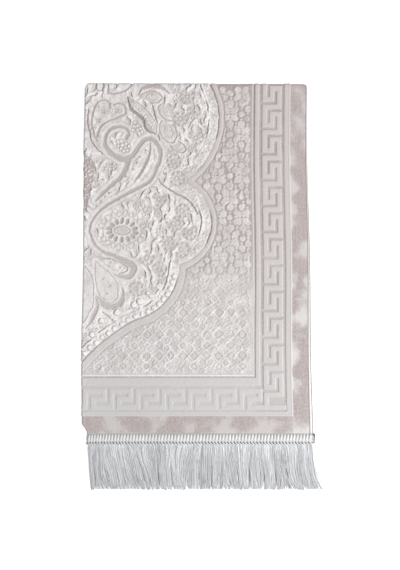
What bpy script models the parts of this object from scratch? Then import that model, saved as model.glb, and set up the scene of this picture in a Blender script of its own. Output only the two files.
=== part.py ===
"""A velvet prayer rug, folded lengthwise and then across, lying on a floor.

The rug is modelled flat first. A point of it has three flat coordinates: u across the
rug, v along it, and h up from its backing. folded() then takes that point to where it
lies in the folded stack. The piled side is outward in the lengthwise fold, so the stack
has four layers: 1 and 2 lie back to back, 2 and 3 face to face, 3 and 4 back to back.
Metres, +Z up, +Y towards the fold across the rug, origin under the middle of the part.
"""

import math
import random

import bmesh
import bpy
from mathutils import Vector
from mathutils.geometry import delaunay_2d_cdt, intersect_point_line

# The rug as cut, before it is folded
RUG_WIDTH = 0.700
RUG_LENGTH = 1.100

# Heights over the backing
PILE_TOP = 0.0030
CARVED = 0.0020
BARE_END = 0.0008
RAMP = 0.0010
SHARPEST_CORNER = 0.35

# The folds
BACKS_APART = 0.0008
FACES_APART = 0.0008
CREASE_SHIFT = 0.0005
CREASE_SLANT = 0.00364
CROSS_SHIFT = 0.0020
SIDE_RADIUS = (PILE_TOP + BACKS_APART) / 2
CROSS_RADIUS = (FACES_APART + BACKS_APART) / 2 + PILE_TOP
SIDE_ARC = SIDE_RADIUS * math.pi / 2
CROSS_ARC = CROSS_RADIUS * math.pi / 2
STACK_MIDDLE = CROSS_RADIUS + SIDE_RADIUS + PILE_TOP / 2
SIDE_STEPS = 6
CROSS_STEPS = 8

# How the stack settles: fuller along the folds and the headings, and a little uneven
SIDE_PUFF = 0.20
CROSS_PUFF = 0.16
END_PUFF = 0.06
PUFF_REACH = 0.025
UNEVEN = 0.030
BROAD_WAVE = (0.061, 0.083)
SLANT_WAVE = (0.034, 0.120)
SLANT_WAVE_SHARE = 0.6
EDGE_WOBBLE = 0.0007
EDGE_WOBBLE_REACH = 0.048
END_PULL = 0.0075
END_PULL_REACH = 0.040
END_PULL_LENGTH = 0.020
END_PUFF_REACH = 0.050

# Rows of points in the flat of the cloth
NEAR_FOLD = (0.007, 0.018, 0.034)
NEAR_END = (0.009, 0.018)
CLOTH_ROWS_REACH = RUG_LENGTH / 2 - 0.0125
ROW_PITCH = 0.046
CLEAR_OF_CARVING = 0.0045

# Binding along the two long edges
BINDING_WIDTH = 0.0024
BINDING_TOP = 0.0024
CLEARANCE = 0.0003
CLOTH_HALF_WIDTH = RUG_WIDTH / 2 - BINDING_WIDTH - CLEARANCE

# Heading at each end: a flat braid with a cord along its outer side
HEADING_WIDTH = 0.016
HEADING_LAP = 0.008
HEADING_TOP = 0.0030
HEADING_HALF_LENGTH = RUG_WIDTH / 2 - 0.0010
CORD_ROW_WIDTH = 0.0052

# Fringe: locks on a narrow strip
STRIP_WIDTH = 0.0022
STRIP_LOW = 0.0007
STRIP_HIGH = 0.0023
LOCKS_PER_LAYER = 36
LOCK_PITCH = 0.0095
FIRST_LOCK_FROM_CREASE = 0.0032
LOCK_LENGTH = 0.064
LOCK_LENGTH_VARIES = 0.0022
LOCK_HALF_WIDTHS = (0.0037, 0.0033, 0.0017)
LOCK_STATIONS = (0.0, 0.42, 1.0)
LOCK_LEAN = 0.0050
LEAN_VARIES = 0.30
LEAN_REACH = 0.040
LOCK_STRAY = 0.0004
DROOP_LENGTH = 0.026
DROOP_FLATTENS_TO = 0.46
FLOOR_CLEARANCE = 0.00005

# Carved frame, as distances in from the long edge and in from the cloth's end
SIDE_OUTER_BAND = (0.0269, 0.0362)
SIDE_INNER_BAND = (0.0755, 0.0823)
SIDE_KEY = (0.0406, 0.0706)
SIDE_FIELD_EDGE = 0.0845
END_OUTER_BAND = (0.0340, 0.0410)
END_INNER_BAND = (0.0800, 0.0918)
END_KEY = (0.0438, 0.0752)
END_FIELD_EDGE = 0.0936
KEY_RIDGE = 0.0077
KEY_LONG_SHARE = 0.714
KEY_SHORT_SHARE = 0.286
SIDE_KEY_UNITS = 12
SIDE_KEY_FIRST = -0.0045
SIDE_KEY_PITCH = 0.0407
END_KEY_UNITS = 7
END_KEY_FIRST = 0.0089
END_KEY_PITCH = 0.0394
KEY_STUB_GAP = 0.0024
CARVING_ENDS_PAST_CREASE = 0.0065
PLAIN_FROM = -0.0125

# Medallion: the lobes of its scalloped edge, each an arc through three places that are
# given as distances from the lengthwise crease and from the fold across the rug
LOBES = (
    ((0.2015, 0.0000), (0.2155, 0.0590), (0.1660, 0.1550)),
    ((0.1660, 0.1550), (0.2057, 0.2225), (0.1540, 0.2885)),
    ((0.1540, 0.2885), (0.1390, 0.3380), (0.0888, 0.3740)),
    ((0.0888, 0.3740), (0.0445, 0.3980), (0.0000, 0.4480)),
)
LOBE_STEPS = 7
MEDALLION_RIBBON = 0.0060
MEDALLION_GROOVE = 0.0024

SEED = 7


def clamp(value):
    return max(0.0, min(1.0, value))


def smooth(value):
    value = clamp(value)
    return value * value * (3 - 2 * value)


def clear_scene():
    for item in list(bpy.data.objects):
        bpy.data.objects.remove(item, do_unlink=True)


# ---------------------------------------------------------------- the folded shape


def crease(v):
    """Where the lengthwise crease crosses the rug at v; it runs slightly askew."""
    return CREASE_SHIFT - CREASE_SLANT * v


def side_fold(s, lift):
    """The lengthwise fold: place across the stack, and height from the pair's middle."""
    radius = SIDE_RADIUS + lift
    if abs(s) <= SIDE_ARC:
        angle = s / SIDE_RADIUS
        return -radius * math.cos(angle), radius * math.sin(angle)
    return abs(s) - SIDE_ARC, math.copysign(radius, s)


def cross_fold(q, n):
    """The fold across the rug: place along the stack, and height over the floor."""
    radius = CROSS_RADIUS + n
    if abs(q) <= CROSS_ARC:
        angle = q / CROSS_RADIUS
        return radius * math.cos(angle), STACK_MIDDLE - radius * math.sin(angle)
    return CROSS_ARC - abs(q), STACK_MIDDLE - math.copysign(radius, q)


def settled(x, y, z):
    """The soft, uneven lie of the stack; what touches the floor stays level."""
    end = -(RUG_LENGTH / 2 - CROSS_ARC - HEADING_LAP)
    puff = SIDE_PUFF * math.exp(-max(0.0, x) / PUFF_REACH)
    puff += CROSS_PUFF * math.exp(-max(0.0, -y) / PUFF_REACH)
    puff += END_PUFF * smooth((end + END_PUFF_REACH - y) / END_PUFF_REACH)
    wave = math.sin(x / BROAD_WAVE[0] + 1.3) * math.sin(y / BROAD_WAVE[1] + 0.4)
    wave += SLANT_WAVE_SHARE * math.sin(x / SLANT_WAVE[0] - y / SLANT_WAVE[1])
    pull = END_PULL * smooth((end + END_PULL_LENGTH - y) / END_PULL_LENGTH)
    pull *= math.exp(-max(0.0, x) / END_PULL_REACH)
    wobble = EDGE_WOBBLE * math.sin(y / EDGE_WOBBLE_REACH + 1.0)
    return Vector((x + pull + wobble, y, z * (1 + puff + UNEVEN * wave)))


def folded(u, v, h):
    """Where a point of the flat rug lies in the folded stack."""
    x, n = side_fold(u - crease(v), h - PILE_TOP / 2)
    y, z = cross_fold(v - CROSS_SHIFT, n)
    return settled(x, y, z)


def fold_steps(arc, steps):
    return [arc * (2 * i / steps - 1) for i in range(steps + 1)]


def rows(arc, steps, reach):
    """Distances from a crease at which the cloth has a row of points."""
    beyond = [arc + d for d in NEAR_FOLD]
    count = round((reach - beyond[-1]) / ROW_PITCH)
    pitch = (reach - beyond[-1]) / count
    beyond += [beyond[-1] + pitch * (i + 1) for i in range(count)]
    return sorted([-d for d in beyond] + fold_steps(arc, steps) + beyond)


# ---------------------------------------------------------------- the carved pattern


def arc_through(a, b, c, steps):
    """Points of the circular arc from a through b to c, without the last one."""
    ax, ay = a
    bx, by = b
    cx, cy = c
    d = 2 * (ax * (by - cy) + bx * (cy - ay) + cx * (ay - by))
    a2 = ax * ax + ay * ay
    b2 = bx * bx + by * by
    c2 = cx * cx + cy * cy
    mx = (a2 * (by - cy) + b2 * (cy - ay) + c2 * (ay - by)) / d
    my = (a2 * (cx - bx) + b2 * (ax - cx) + c2 * (bx - ax)) / d
    start = math.atan2(ay - my, ax - mx)
    middle = math.atan2(by - my, bx - mx)
    end = math.atan2(cy - my, cx - mx)
    turn = math.remainder(middle - start, math.tau) + math.remainder(end - middle, math.tau)
    radius = math.hypot(ax - mx, ay - my)
    angles = [start + turn * i / steps for i in range(steps)]
    return [(mx + radius * math.cos(t), my + radius * math.sin(t)) for t in angles]


def both_ends(quarter):
    """A path of (u, distance from the cross fold) runs on, mirrored, past that fold."""
    front = [(u, -t) for u, t in quarter]
    back = [(u, t) for u, t in reversed(quarter)]
    if abs(quarter[-1][1]) < 1e-9:
        back = back[1:]
    return front + back


def frame_path(side, end):
    """The three sides of the carved frame that the outer layers show."""
    u = RUG_WIDTH / 2 - side
    v = RUG_LENGTH / 2 - end
    return both_ends([(-CARVING_ENDS_PAST_CREASE, v), (u, v), (u, 0.0)])


def key_unit(start, pitch):
    """One turn of the key, as places along it and rows: 0 outer, 1 middle, 2 inner."""
    long_run = start + KEY_LONG_SHARE * pitch
    short_run = start + KEY_SHORT_SHARE * pitch
    places = (start, start, long_run, long_run, short_run, short_run)
    return list(zip(places, (0, 2, 2, 1, 1, 0)))


def key_rows(band):
    """Middle lines of the key's outer, middle and inner rows, in from the edge."""
    first = band[0] + KEY_RIDGE / 2
    last = band[1] - KEY_RIDGE / 2
    return (first, (first + last) / 2, last)


def key_lines():
    """The key's three columns along the long side and its three rows along the end."""
    columns = [RUG_WIDTH / 2 - d for d in key_rows(SIDE_KEY)]
    end_rows = [RUG_LENGTH / 2 - d for d in key_rows(END_KEY)]
    return columns, end_rows


def key_path():
    """The running key: along the end, round the corner and up the long side."""
    columns, end_rows = key_lines()
    quarter = [(-CARVING_ENDS_PAST_CREASE, end_rows[0])]
    for i in range(END_KEY_UNITS):
        unit = key_unit(END_KEY_FIRST + i * END_KEY_PITCH, END_KEY_PITCH)
        quarter += [(place, end_rows[row]) for place, row in unit]
    last = SIDE_KEY_FIRST + SIDE_KEY_UNITS * SIDE_KEY_PITCH
    quarter += [(columns[2], end_rows[0]), (columns[2], last), (columns[0], last)]
    for i in reversed(range(SIDE_KEY_UNITS)):
        unit = key_unit(SIDE_KEY_FIRST + i * SIDE_KEY_PITCH, SIDE_KEY_PITCH)
        quarter += [(columns[row], place) for place, row in reversed(unit)]
    quarter[-2:] = [(columns[2], 0.0)]
    return both_ends(quarter)


def key_stub(end):
    """The short ridge in the key's corner, a little apart from the running one."""
    columns, end_rows = key_lines()
    first = columns[2] + KEY_RIDGE / 2 + KEY_STUB_GAP
    last = columns[0] + KEY_RIDGE / 2
    return [(first, end * end_rows[0]), (last, end * end_rows[0])]


def medallion_path():
    """The scalloped edge of the medallion, from the crease up to the cross fold."""
    quarter = []
    for lobe in LOBES:
        quarter += arc_through(*lobe, LOBE_STEPS)
    quarter.append(LOBES[-1][-1])
    last = (-CARVING_ENDS_PAST_CREASE, LOBES[-1][-1][1] - CARVING_ENDS_PAST_CREASE)
    quarter.append(last)
    return both_ends(list(reversed(quarter)))


def field_path():
    """The edge of the carved field; the plain inner layers lie on its high side."""
    u = RUG_WIDTH / 2 - SIDE_FIELD_EDGE
    v = RUG_LENGTH / 2 - END_FIELD_EDGE
    bottom = RUG_LENGTH / 2 - HEADING_LAP - RAMP
    return both_ends([(PLAIN_FROM, bottom), (PLAIN_FROM, v), (u, v), (u, 0.0)])


def offset(path, distance):
    """The path moved sideways, with its corners kept sharp."""
    moved = []
    for i, point in enumerate(path):
        here = Vector(point)
        before = (here - Vector(path[i - 1])).normalized() if i else None
        after = (Vector(path[i + 1]) - here).normalized() if i + 1 < len(path) else None
        before = before or after
        after = after or before
        normal = Vector((-before.y - after.y, before.x + after.x)).normalized()
        square = max(SHARPEST_CORNER, normal.dot(Vector((-before.y, before.x))))
        moved.append(here + normal * (distance / square))
    return moved


def lengthened(path, extra):
    """The path with both its ends moved out by a distance."""
    first = Vector(path[0])
    last = Vector(path[-1])
    first += (first - Vector(path[1])).normalized() * extra
    last += (last - Vector(path[-2])).normalized() * extra
    return [first] + list(path[1:-1]) + [last]


def split_long(points, closed):
    """The points with more between any two that lie over a row's pitch apart."""
    result = []
    count = len(points) if closed else len(points) - 1
    for i in range(count):
        a = Vector(points[i])
        b = Vector(points[(i + 1) % len(points)])
        parts = max(1, math.ceil((b - a).length / ROW_PITCH))
        result += [a.lerp(b, k / parts) for k in range(parts)]
    if not closed:
        result.append(Vector(points[-1]))
    return result


def strip_outline(path, half_width, extra):
    path = lengthened(path, extra)
    return offset(path, half_width) + list(reversed(offset(path, -half_width)))


def strips():
    """Each carved strip: its middle line, its half width, and whether it is raised."""
    made = []
    for side, end in ((SIDE_OUTER_BAND, END_OUTER_BAND), (SIDE_INNER_BAND, END_INNER_BAND)):
        width = (side[1] - side[0] + end[1] - end[0]) / 4
        path = frame_path((side[0] + side[1]) / 2, (end[0] + end[1]) / 2)
        made.append((path, width, True))
    made.append((key_path(), KEY_RIDGE / 2, True))
    for end in (-1, 1):
        made.append((key_stub(end), KEY_RIDGE / 2, True))
    edge = medallion_path()
    apart = (MEDALLION_RIBBON + MEDALLION_GROOVE) / 2
    for distance in (-apart, apart):
        made.append(([tuple(p) for p in offset(edge, distance)], MEDALLION_GROOVE / 2, False))
    return made


def distance_to(path, point):
    best = 1.0
    for a, b in zip(path, path[1:]):
        nearest, share = intersect_point_line(point, Vector(a), Vector(b))
        nearest = Vector(a).lerp(Vector(b), clamp(share))
        best = min(best, (nearest.to_2d() - point).length)
    return best


def raised_share(point, carved):
    """How far up the pile stands at a point, from 0 on the ground to 1 on a ridge."""
    inside_frame = point.x < RUG_WIDTH / 2 - SIDE_FIELD_EDGE
    inside_frame = inside_frame and abs(point.y) < RUG_LENGTH / 2 - END_FIELD_EDGE
    to_field = distance_to(field_path(), point)
    sign = -1 if inside_frame or point.x < PLAIN_FROM else 1
    share = clamp(0.5 - sign * to_field / RAMP)
    for path, half_width, is_raised in carved:
        here = clamp(0.5 - (distance_to(path, point) - half_width) / RAMP)
        share = max(share, here) if is_raised else min(share, 1 - here)
    return share


def pile_height(point, carved):
    """Height of the pile, which stops short of the heading over a bare end."""
    full = CARVED + (PILE_TOP - CARVED) * raised_share(point, carved)
    into_end = abs(point.y) - (RUG_LENGTH / 2 - HEADING_LAP - RAMP)
    return full + (BARE_END - full) * clamp(into_end / RAMP)


# ---------------------------------------------------------------- solids


def solid(name, bm, colour, roughness):
    """Turns a closed mesh into a named object with its own material."""
    bmesh.ops.recalc_face_normals(bm, faces=bm.faces)
    mesh = bpy.data.meshes.new(name)
    bm.to_mesh(mesh)
    bm.free()
    item = bpy.data.objects.new(name, mesh)
    material = bpy.data.materials.new(name)
    material.use_nodes = True
    shader = material.node_tree.nodes["Principled BSDF"]
    shader.inputs["Base Color"].default_value = (*colour, 1.0)
    shader.inputs["Roughness"].default_value = roughness
    shader.inputs["Metallic"].default_value = 0.0
    mesh.materials.append(material)
    bpy.context.scene.collection.objects.link(item)
    return item


def cloth_grid():
    """The rows and columns of the flat cloth, measured from its two creases."""
    columns = rows(SIDE_ARC, SIDE_STEPS, CLOTH_HALF_WIDTH + 2 * ROW_PITCH)
    lines = rows(CROSS_ARC, CROSS_STEPS, CLOTH_ROWS_REACH)
    return columns, sorted(lines + rows_near_ends())


def rim(columns, lines):
    """The cloth's outline, a ring of flat points that both its faces share."""
    half_length = RUG_LENGTH / 2
    bare = half_length - HEADING_LAP
    along = [q + CROSS_SHIFT for q in lines]
    along += [-bare, -bare + RAMP, bare - RAMP, bare]
    along = sorted(v for v in along if abs(v) < half_length)
    right = [(CLOTH_HALF_WIDTH, v) for v in along]
    left = [(-CLOTH_HALF_WIDTH, v) for v in reversed(along)]
    ends = []
    for v in (half_length, -half_length):
        ends.append(line_across(columns, v))
    return right + list(reversed(ends[0])) + left + ends[1]


def rows_near_ends():
    """Rows beside the headings, where the cloth is drawn in at the crease."""
    return [sign * (CLOTH_ROWS_REACH - d) for sign in (-1, 1) for d in NEAR_END]


def bends_beside(arc, steps):
    """Lines on which the cloth bends: round a fold and in the fuller cloth beside it."""
    beside = [sign * (arc + d) for sign in (-1, 1) for d in NEAR_FOLD]
    return fold_steps(arc, steps) + beside


def inside_columns(columns, v):
    across = [s + crease(v) for s in columns]
    return [u for u in across if abs(u) < CLOTH_HALF_WIDTH - ROW_PITCH / 4]


def fold_lines(columns, lines):
    """Straight lines across the cloth on which it bends."""
    bends = []
    for s in bends_beside(SIDE_ARC, SIDE_STEPS):
        along = [-RUG_LENGTH / 2] + [q + CROSS_SHIFT for q in lines] + [RUG_LENGTH / 2]
        bends.append([(s + crease(v), v) for v in along])
    last_rows = [-CLOTH_ROWS_REACH, CLOTH_ROWS_REACH] + rows_near_ends()
    for q in bends_beside(CROSS_ARC, CROSS_STEPS) + last_rows:
        bends.append(line_across(columns, q + CROSS_SHIFT))
    return bends


def line_across(columns, v):
    inside = inside_columns(columns, v)
    return [(u, v) for u in [-CLOTH_HALF_WIDTH] + inside + [CLOTH_HALF_WIDTH]]


class FlatFace:
    """Gathers points and lines of one flat face, then cuts it into triangles."""

    def __init__(self, ring):
        self.points = [Vector(p) for p in ring]
        self.heights = [None] * len(ring)
        self.edges = [(i, (i + 1) % len(ring)) for i in range(len(ring))]
        self.ring_size = len(ring)

    def add_line(self, points, closed=False, height=None):
        first = len(self.points)
        self.points += [Vector(p) for p in points]
        self.heights += [height] * len(points)
        last = first + len(points) - 1
        self.edges += [(i, i + 1) for i in range(first, last)]
        if closed:
            self.edges.append((last, first))

    def add_point(self, point):
        self.points.append(Vector(point))
        self.heights.append(None)

    def triangulated(self):
        made = delaunay_2d_cdt(self.points, self.edges, [], 0, 1e-6)
        places, triangles, sources = made[0], made[2], made[3]
        heights = []
        ring = [None] * self.ring_size
        for index, found in enumerate(sources):
            known = [self.heights[i] for i in found if self.heights[i] is not None]
            heights.append(known[0] if known else None)
            for i in found:
                if i < self.ring_size:
                    ring[i] = index
        return places, heights, triangles, ring


def scattered(columns, lines):
    """The grid's own points in the flat of the cloth, inside its outline."""
    made = []
    for q in lines:
        v = q + CROSS_SHIFT
        made += [Vector((u, v)) for u in inside_columns(columns, v)]
    return made


def carved_face(columns, lines):
    """The piled face: outline, bends, bare ends, carved strips and grid points."""
    face = FlatFace(rim(columns, lines))
    for bend in fold_lines(columns, lines):
        face.add_line(bend)
    bare = RUG_LENGTH / 2 - HEADING_LAP
    for v in (-bare, -bare + RAMP, bare - RAMP, bare):
        face.add_line(line_across(columns, v))
    carved = strips()
    step = field_path()
    face.add_line(split_long(offset(step, RAMP / 2), False), height=PILE_TOP)
    face.add_line(split_long(offset(step, -RAMP / 2), False), height=CARVED)
    for path, half_width, is_raised in carved:
        for sign, height in ((1, CARVED), (-1, PILE_TOP)):
            outline = strip_outline(path, half_width + sign * RAMP / 2, sign * RAMP / 2)
            level = height if is_raised else PILE_TOP + CARVED - height
            face.add_line(split_long(outline, True), closed=True, height=level)
    paths = [(step, 0.0)] + [(path, half_width) for path, half_width, _ in carved]
    for point in scattered(columns, lines):
        gaps = [abs(distance_to(path, point) - half_width) for path, half_width in paths]
        if min(gaps) > CLEAR_OF_CARVING:
            face.add_point(point)
    places, heights, triangles, ring = face.triangulated()
    for i, place in enumerate(places):
        into_end = abs(place.y) > bare - 2 * RAMP
        if heights[i] is None or into_end:
            heights[i] = pile_height(place, carved)
    return places, heights, triangles, ring


def plain_face(columns, lines):
    """The backing: the same outline and bends, and nothing carved."""
    face = FlatFace(rim(columns, lines))
    for bend in fold_lines(columns, lines):
        face.add_line(bend)
    for point in scattered(columns, lines):
        face.add_point(point)
    places, _, triangles, ring = face.triangulated()
    return places, [0.0] * len(places), triangles, ring


def build_cloth():
    """The whole rug but its heading, fringe and bindings, as one folded solid."""
    columns, lines = cloth_grid()
    bm = bmesh.new()
    rings = []
    for places, heights, triangles, ring in (
        carved_face(columns, lines),
        plain_face(columns, lines),
    ):
        corners = [bm.verts.new(folded(p.x, p.y, h)) for p, h in zip(places, heights)]
        for triangle in triangles:
            bm.faces.new([corners[i] for i in triangle])
        rings.append([corners[i] for i in ring])
    for i in range(len(rings[0])):
        j = (i + 1) % len(rings[0])
        bm.faces.new((rings[0][i], rings[0][j], rings[1][j], rings[1][i]))
    return solid("rug_cloth", bm, (0.72, 0.66, 0.65), 0.85)


def sweep(sections):
    """A closed tube through rings of points, with flat ends."""
    bm = bmesh.new()
    rings = [[bm.verts.new(p) for p in section] for section in sections]
    for a, b in zip(rings, rings[1:]):
        for i in range(len(a)):
            j = (i + 1) % len(a)
            bm.faces.new((a[i], a[j], b[j], b[i]))
    bm.faces.new(rings[0])
    bm.faces.new(list(reversed(rings[-1])))
    return bm


def places_across(v, reach):
    """Places across the rug, bend by bend, out to reach on either side."""
    inside = [s + crease(v) for s in rows(SIDE_ARC, SIDE_STEPS, reach + ROW_PITCH)]
    inside = [u for u in inside if abs(u) < reach - ROW_PITCH / 4]
    return [-reach] + inside + [reach]


def heading_profile():
    """Braid and cord, as distances out from the heading's inner side and heights."""
    seam = HEADING_WIDTH - CORD_ROW_WIDTH
    past_cloth = HEADING_LAP + CLEARANCE
    over_cloth = BARE_END + CLEARANCE
    return (
        (CLEARANCE, over_cloth),
        (0.0006, 0.0025),
        (0.0016, HEADING_TOP),
        (seam - 0.0012, HEADING_TOP),
        (seam, 0.0024),
        (seam + 0.0014, HEADING_TOP),
        (HEADING_WIDTH - 0.0014, HEADING_TOP),
        (HEADING_WIDTH, 0.0018),
        (HEADING_WIDTH - 0.0010, 0.0003),
        (past_cloth, 0.0003),
        (past_cloth, over_cloth),
    )


def build_heading(name, end):
    """The sewn-on heading of one end, folded round the lengthwise crease with it."""
    inner = RUG_LENGTH / 2 - HEADING_LAP
    sections = []
    for u in places_across(end * inner, HEADING_HALF_LENGTH):
        section = [folded(u, end * (inner + w), h) for w, h in heading_profile()]
        sections.append(section)
    return solid(name, sweep(sections), (0.86, 0.85, 0.83), 0.6)


def build_binding(name, edge):
    """The bound long edge, from heading to heading round the cross fold."""
    reach = RUG_LENGTH / 2 - HEADING_LAP - CLEARANCE
    along = [q + CROSS_SHIFT for q in rows(CROSS_ARC, CROSS_STEPS, reach)]
    along = [-reach] + [v for v in along if abs(v) < reach - ROW_PITCH / 4] + [reach]
    inner = RUG_WIDTH / 2 - BINDING_WIDTH
    profile = (
        (inner, 0.0001),
        (inner + 0.0015, 0.0000),
        (inner + BINDING_WIDTH, 0.0008),
        (inner + BINDING_WIDTH, 0.0017),
        (inner + 0.0014, BINDING_TOP),
        (inner, BINDING_TOP - 0.0002),
    )
    sections = [[folded(edge * u, v, h) for u, h in profile] for v in along]
    return solid(name, sweep(sections), (0.84, 0.80, 0.76), 0.7)


def strand_point(u, end, out, h):
    """A point of the fringe: it droops to the floor and leans to one side."""
    root = RUG_LENGTH / 2 - HEADING_LAP + HEADING_WIDTH + CLEARANCE
    place = folded(u, end * (root + out), h)
    past = max(0.0, out - STRIP_WIDTH)
    level = (place.z - STRIP_LOW) * DROOP_FLATTENS_TO + FLOOR_CLEARANCE
    place.z += (level - place.z) * smooth(past / DROOP_LENGTH)
    lean = 1 + LEAN_VARIES * math.sin(place.x / LEAN_REACH)
    place.x += LOCK_LEAN * lean * (past / LOCK_LENGTH) ** 1.5
    return place


def lock_roots():
    """Middles of the locks' roots across the rug, on both sides of the crease."""
    first = FIRST_LOCK_FROM_CREASE + LOCK_PITCH / 2
    right = [first + LOCK_PITCH * i for i in range(LOCKS_PER_LAYER)]
    return sorted([-s for s in right] + right)


def fringe_strip(bm, end, starts):
    """The narrow strip, open at each lock's root; returns the rings it leaves open."""
    half = LOCK_HALF_WIDTHS[0]
    stations = [-(SIDE_ARC + LOCK_PITCH * LOCKS_PER_LAYER)]
    stations += fold_steps(SIDE_ARC, SIDE_STEPS)
    stations += [SIDE_ARC + LOCK_PITCH * LOCKS_PER_LAYER]
    for s in starts:
        stations += [s - half, s + half]
    askew = crease(end * RUG_LENGTH / 2)
    rings = {}
    for s in sorted(stations):
        corners = ((0.0, STRIP_LOW), (0.0, STRIP_HIGH))
        corners += ((STRIP_WIDTH, STRIP_HIGH), (STRIP_WIDTH, STRIP_LOW))
        rings[s] = [bm.verts.new(strand_point(s + askew, end, w, h)) for w, h in corners]
    order = sorted(rings)
    roots = {s - half: s for s in starts}
    opened = []
    for a, b in zip(order, order[1:]):
        for i in range(4):
            j = (i + 1) % 4
            if i == 2 and a in roots:
                continue
            bm.faces.new((rings[a][i], rings[a][j], rings[b][j], rings[b][i]))
        if a in roots:
            opened.append((rings[a][3], rings[b][3], rings[b][2], rings[a][2]))
    bm.faces.new(rings[order[0]])
    bm.faces.new(list(reversed(rings[order[-1]])))
    return opened


def build_fringe(name, end):
    """Locks of one end, all rooted in one strip that folds with the rug."""
    chance = random.Random(SEED + end)
    bm = bmesh.new()
    starts = lock_roots()
    askew = crease(end * RUG_LENGTH / 2)
    for s, root in zip(starts, fringe_strip(bm, end, starts)):
        length = LOCK_LENGTH + chance.uniform(-1, 1) * LOCK_LENGTH_VARIES
        ring = root
        stray = chance.uniform(-1, 1) * LOCK_STRAY
        for station, half in zip(LOCK_STATIONS[1:], LOCK_HALF_WIDTHS[1:]):
            out = STRIP_WIDTH + station * length
            middle = s + askew + stray * station
            sides = ((middle - half, STRIP_LOW), (middle + half, STRIP_LOW))
            sides += ((middle + half, STRIP_HIGH), (middle - half, STRIP_HIGH))
            there = [bm.verts.new(strand_point(u, end, out, h)) for u, h in sides]
            for i in range(4):
                j = (i + 1) % 4
                bm.faces.new((ring[i], ring[j], there[j], there[i]))
            ring = there
        bm.faces.new(ring)
    return solid(name, bm, (0.88, 0.88, 0.88), 0.45)


def place_origin(items):
    """Moves the pieces together, so that the origin lies under the part's middle."""
    points = [v.co for item in items for v in item.data.vertices]
    low = [min(p[axis] for p in points) for axis in range(3)]
    high = [max(p[axis] for p in points) for axis in range(3)]
    middle = Vector(((low[0] + high[0]) / 2, (low[1] + high[1]) / 2, low[2]))
    for item in items:
        item.location = -middle


def main():
    clear_scene()
    items = [build_cloth()]
    for name, end in (("front", -1), ("back", 1)):
        items.append(build_heading("heading_" + name, end))
        items.append(build_fringe("fringe_" + name, end))
    items.append(build_binding("edge_binding_outer", 1))
    items.append(build_binding("edge_binding_inner", -1))
    place_origin(items)


main()
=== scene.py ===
# %% [markdown]
# # A carved velvet prayer rug, folded in four
# The rug is one cloth with a velvet pile. The pattern is carved: its ridges keep their
# full pile, and the ground between them is cut or pressed lower. Each end has a braid, a
# twisted cord and a silky fringe, and each long edge is overcast with cream yarn.
#
# This script dresses a plain model of that rug. The model gives each piece its size and
# place. Here the pieces get what the eye sees: carved pile, stitches, strands and finish.

import bpy
import numpy as np
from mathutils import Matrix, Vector


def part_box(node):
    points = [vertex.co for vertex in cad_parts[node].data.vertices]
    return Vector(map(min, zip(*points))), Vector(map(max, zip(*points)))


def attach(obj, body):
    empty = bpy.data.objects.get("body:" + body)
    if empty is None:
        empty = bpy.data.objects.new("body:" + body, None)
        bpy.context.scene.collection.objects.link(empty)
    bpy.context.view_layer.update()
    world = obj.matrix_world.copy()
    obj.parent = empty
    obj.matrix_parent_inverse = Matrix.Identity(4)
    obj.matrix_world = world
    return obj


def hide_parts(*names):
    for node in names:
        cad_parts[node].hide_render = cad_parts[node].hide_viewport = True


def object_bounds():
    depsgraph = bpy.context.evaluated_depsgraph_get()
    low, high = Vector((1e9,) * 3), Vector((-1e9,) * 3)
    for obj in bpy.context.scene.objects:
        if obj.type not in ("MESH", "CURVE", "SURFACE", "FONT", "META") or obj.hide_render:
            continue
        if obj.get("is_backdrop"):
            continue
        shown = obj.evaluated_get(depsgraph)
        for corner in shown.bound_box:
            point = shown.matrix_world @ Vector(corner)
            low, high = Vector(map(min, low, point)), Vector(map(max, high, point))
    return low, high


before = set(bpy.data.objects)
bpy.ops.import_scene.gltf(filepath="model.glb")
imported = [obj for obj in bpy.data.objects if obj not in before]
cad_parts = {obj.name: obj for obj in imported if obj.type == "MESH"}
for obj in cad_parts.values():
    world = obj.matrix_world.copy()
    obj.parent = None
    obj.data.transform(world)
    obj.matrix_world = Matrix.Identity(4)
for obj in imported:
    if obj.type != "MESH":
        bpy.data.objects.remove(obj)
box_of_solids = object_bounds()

MM = 0.001
print("nodes of the plain model:", ", ".join(sorted(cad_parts)))

# %% [markdown]
# ## The camera
# The rug was photographed from above, by someone standing at its fringe and leaning over
# it. So the camera looks down, tilted a few degrees, from about a metre. The sides
# of the rug then spread a little towards the near end, as they do in the photograph. A
# closer camera would spread them more. The small shift sets where they would meet.

# %% Camera
CAMERA_AIM = Vector((-0.0303, -0.0054, 0.016))
CAMERA_DISTANCE = 1.10
CAMERA_TILT = np.radians(4.7)
CAMERA_SENSOR = 36.0
CAMERA_LENS = 64.56
CAMERA_SHIFT = 0.0571

camera_data = bpy.data.cameras.new("camera")
camera_data.sensor_fit = "HORIZONTAL"
camera_data.sensor_width = CAMERA_SENSOR
camera_data.lens = CAMERA_LENS
camera_data.shift_x = CAMERA_SHIFT
camera = bpy.data.objects.new("camera", camera_data)
away = Vector((0.0, -np.sin(CAMERA_TILT), np.cos(CAMERA_TILT)))
camera.location = CAMERA_AIM + CAMERA_DISTANCE * away
camera.rotation_euler = (CAMERA_TILT, 0.0, 0.0)
bpy.context.scene.collection.objects.link(camera)
bpy.context.scene.camera = camera
print("camera at", [round(c, 3) for c in camera.location])

# %% [markdown]
# ## Light and floor
# Low relief shows only if light comes across it. One broad light stands low at the right,
# so each ridge gets a bright right flank and a dark left one. A white sky fills the
# shadows. The floor is plain white, and it glows a little, as a lit table does, so the
# rug's own shadow stays faint.

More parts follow.
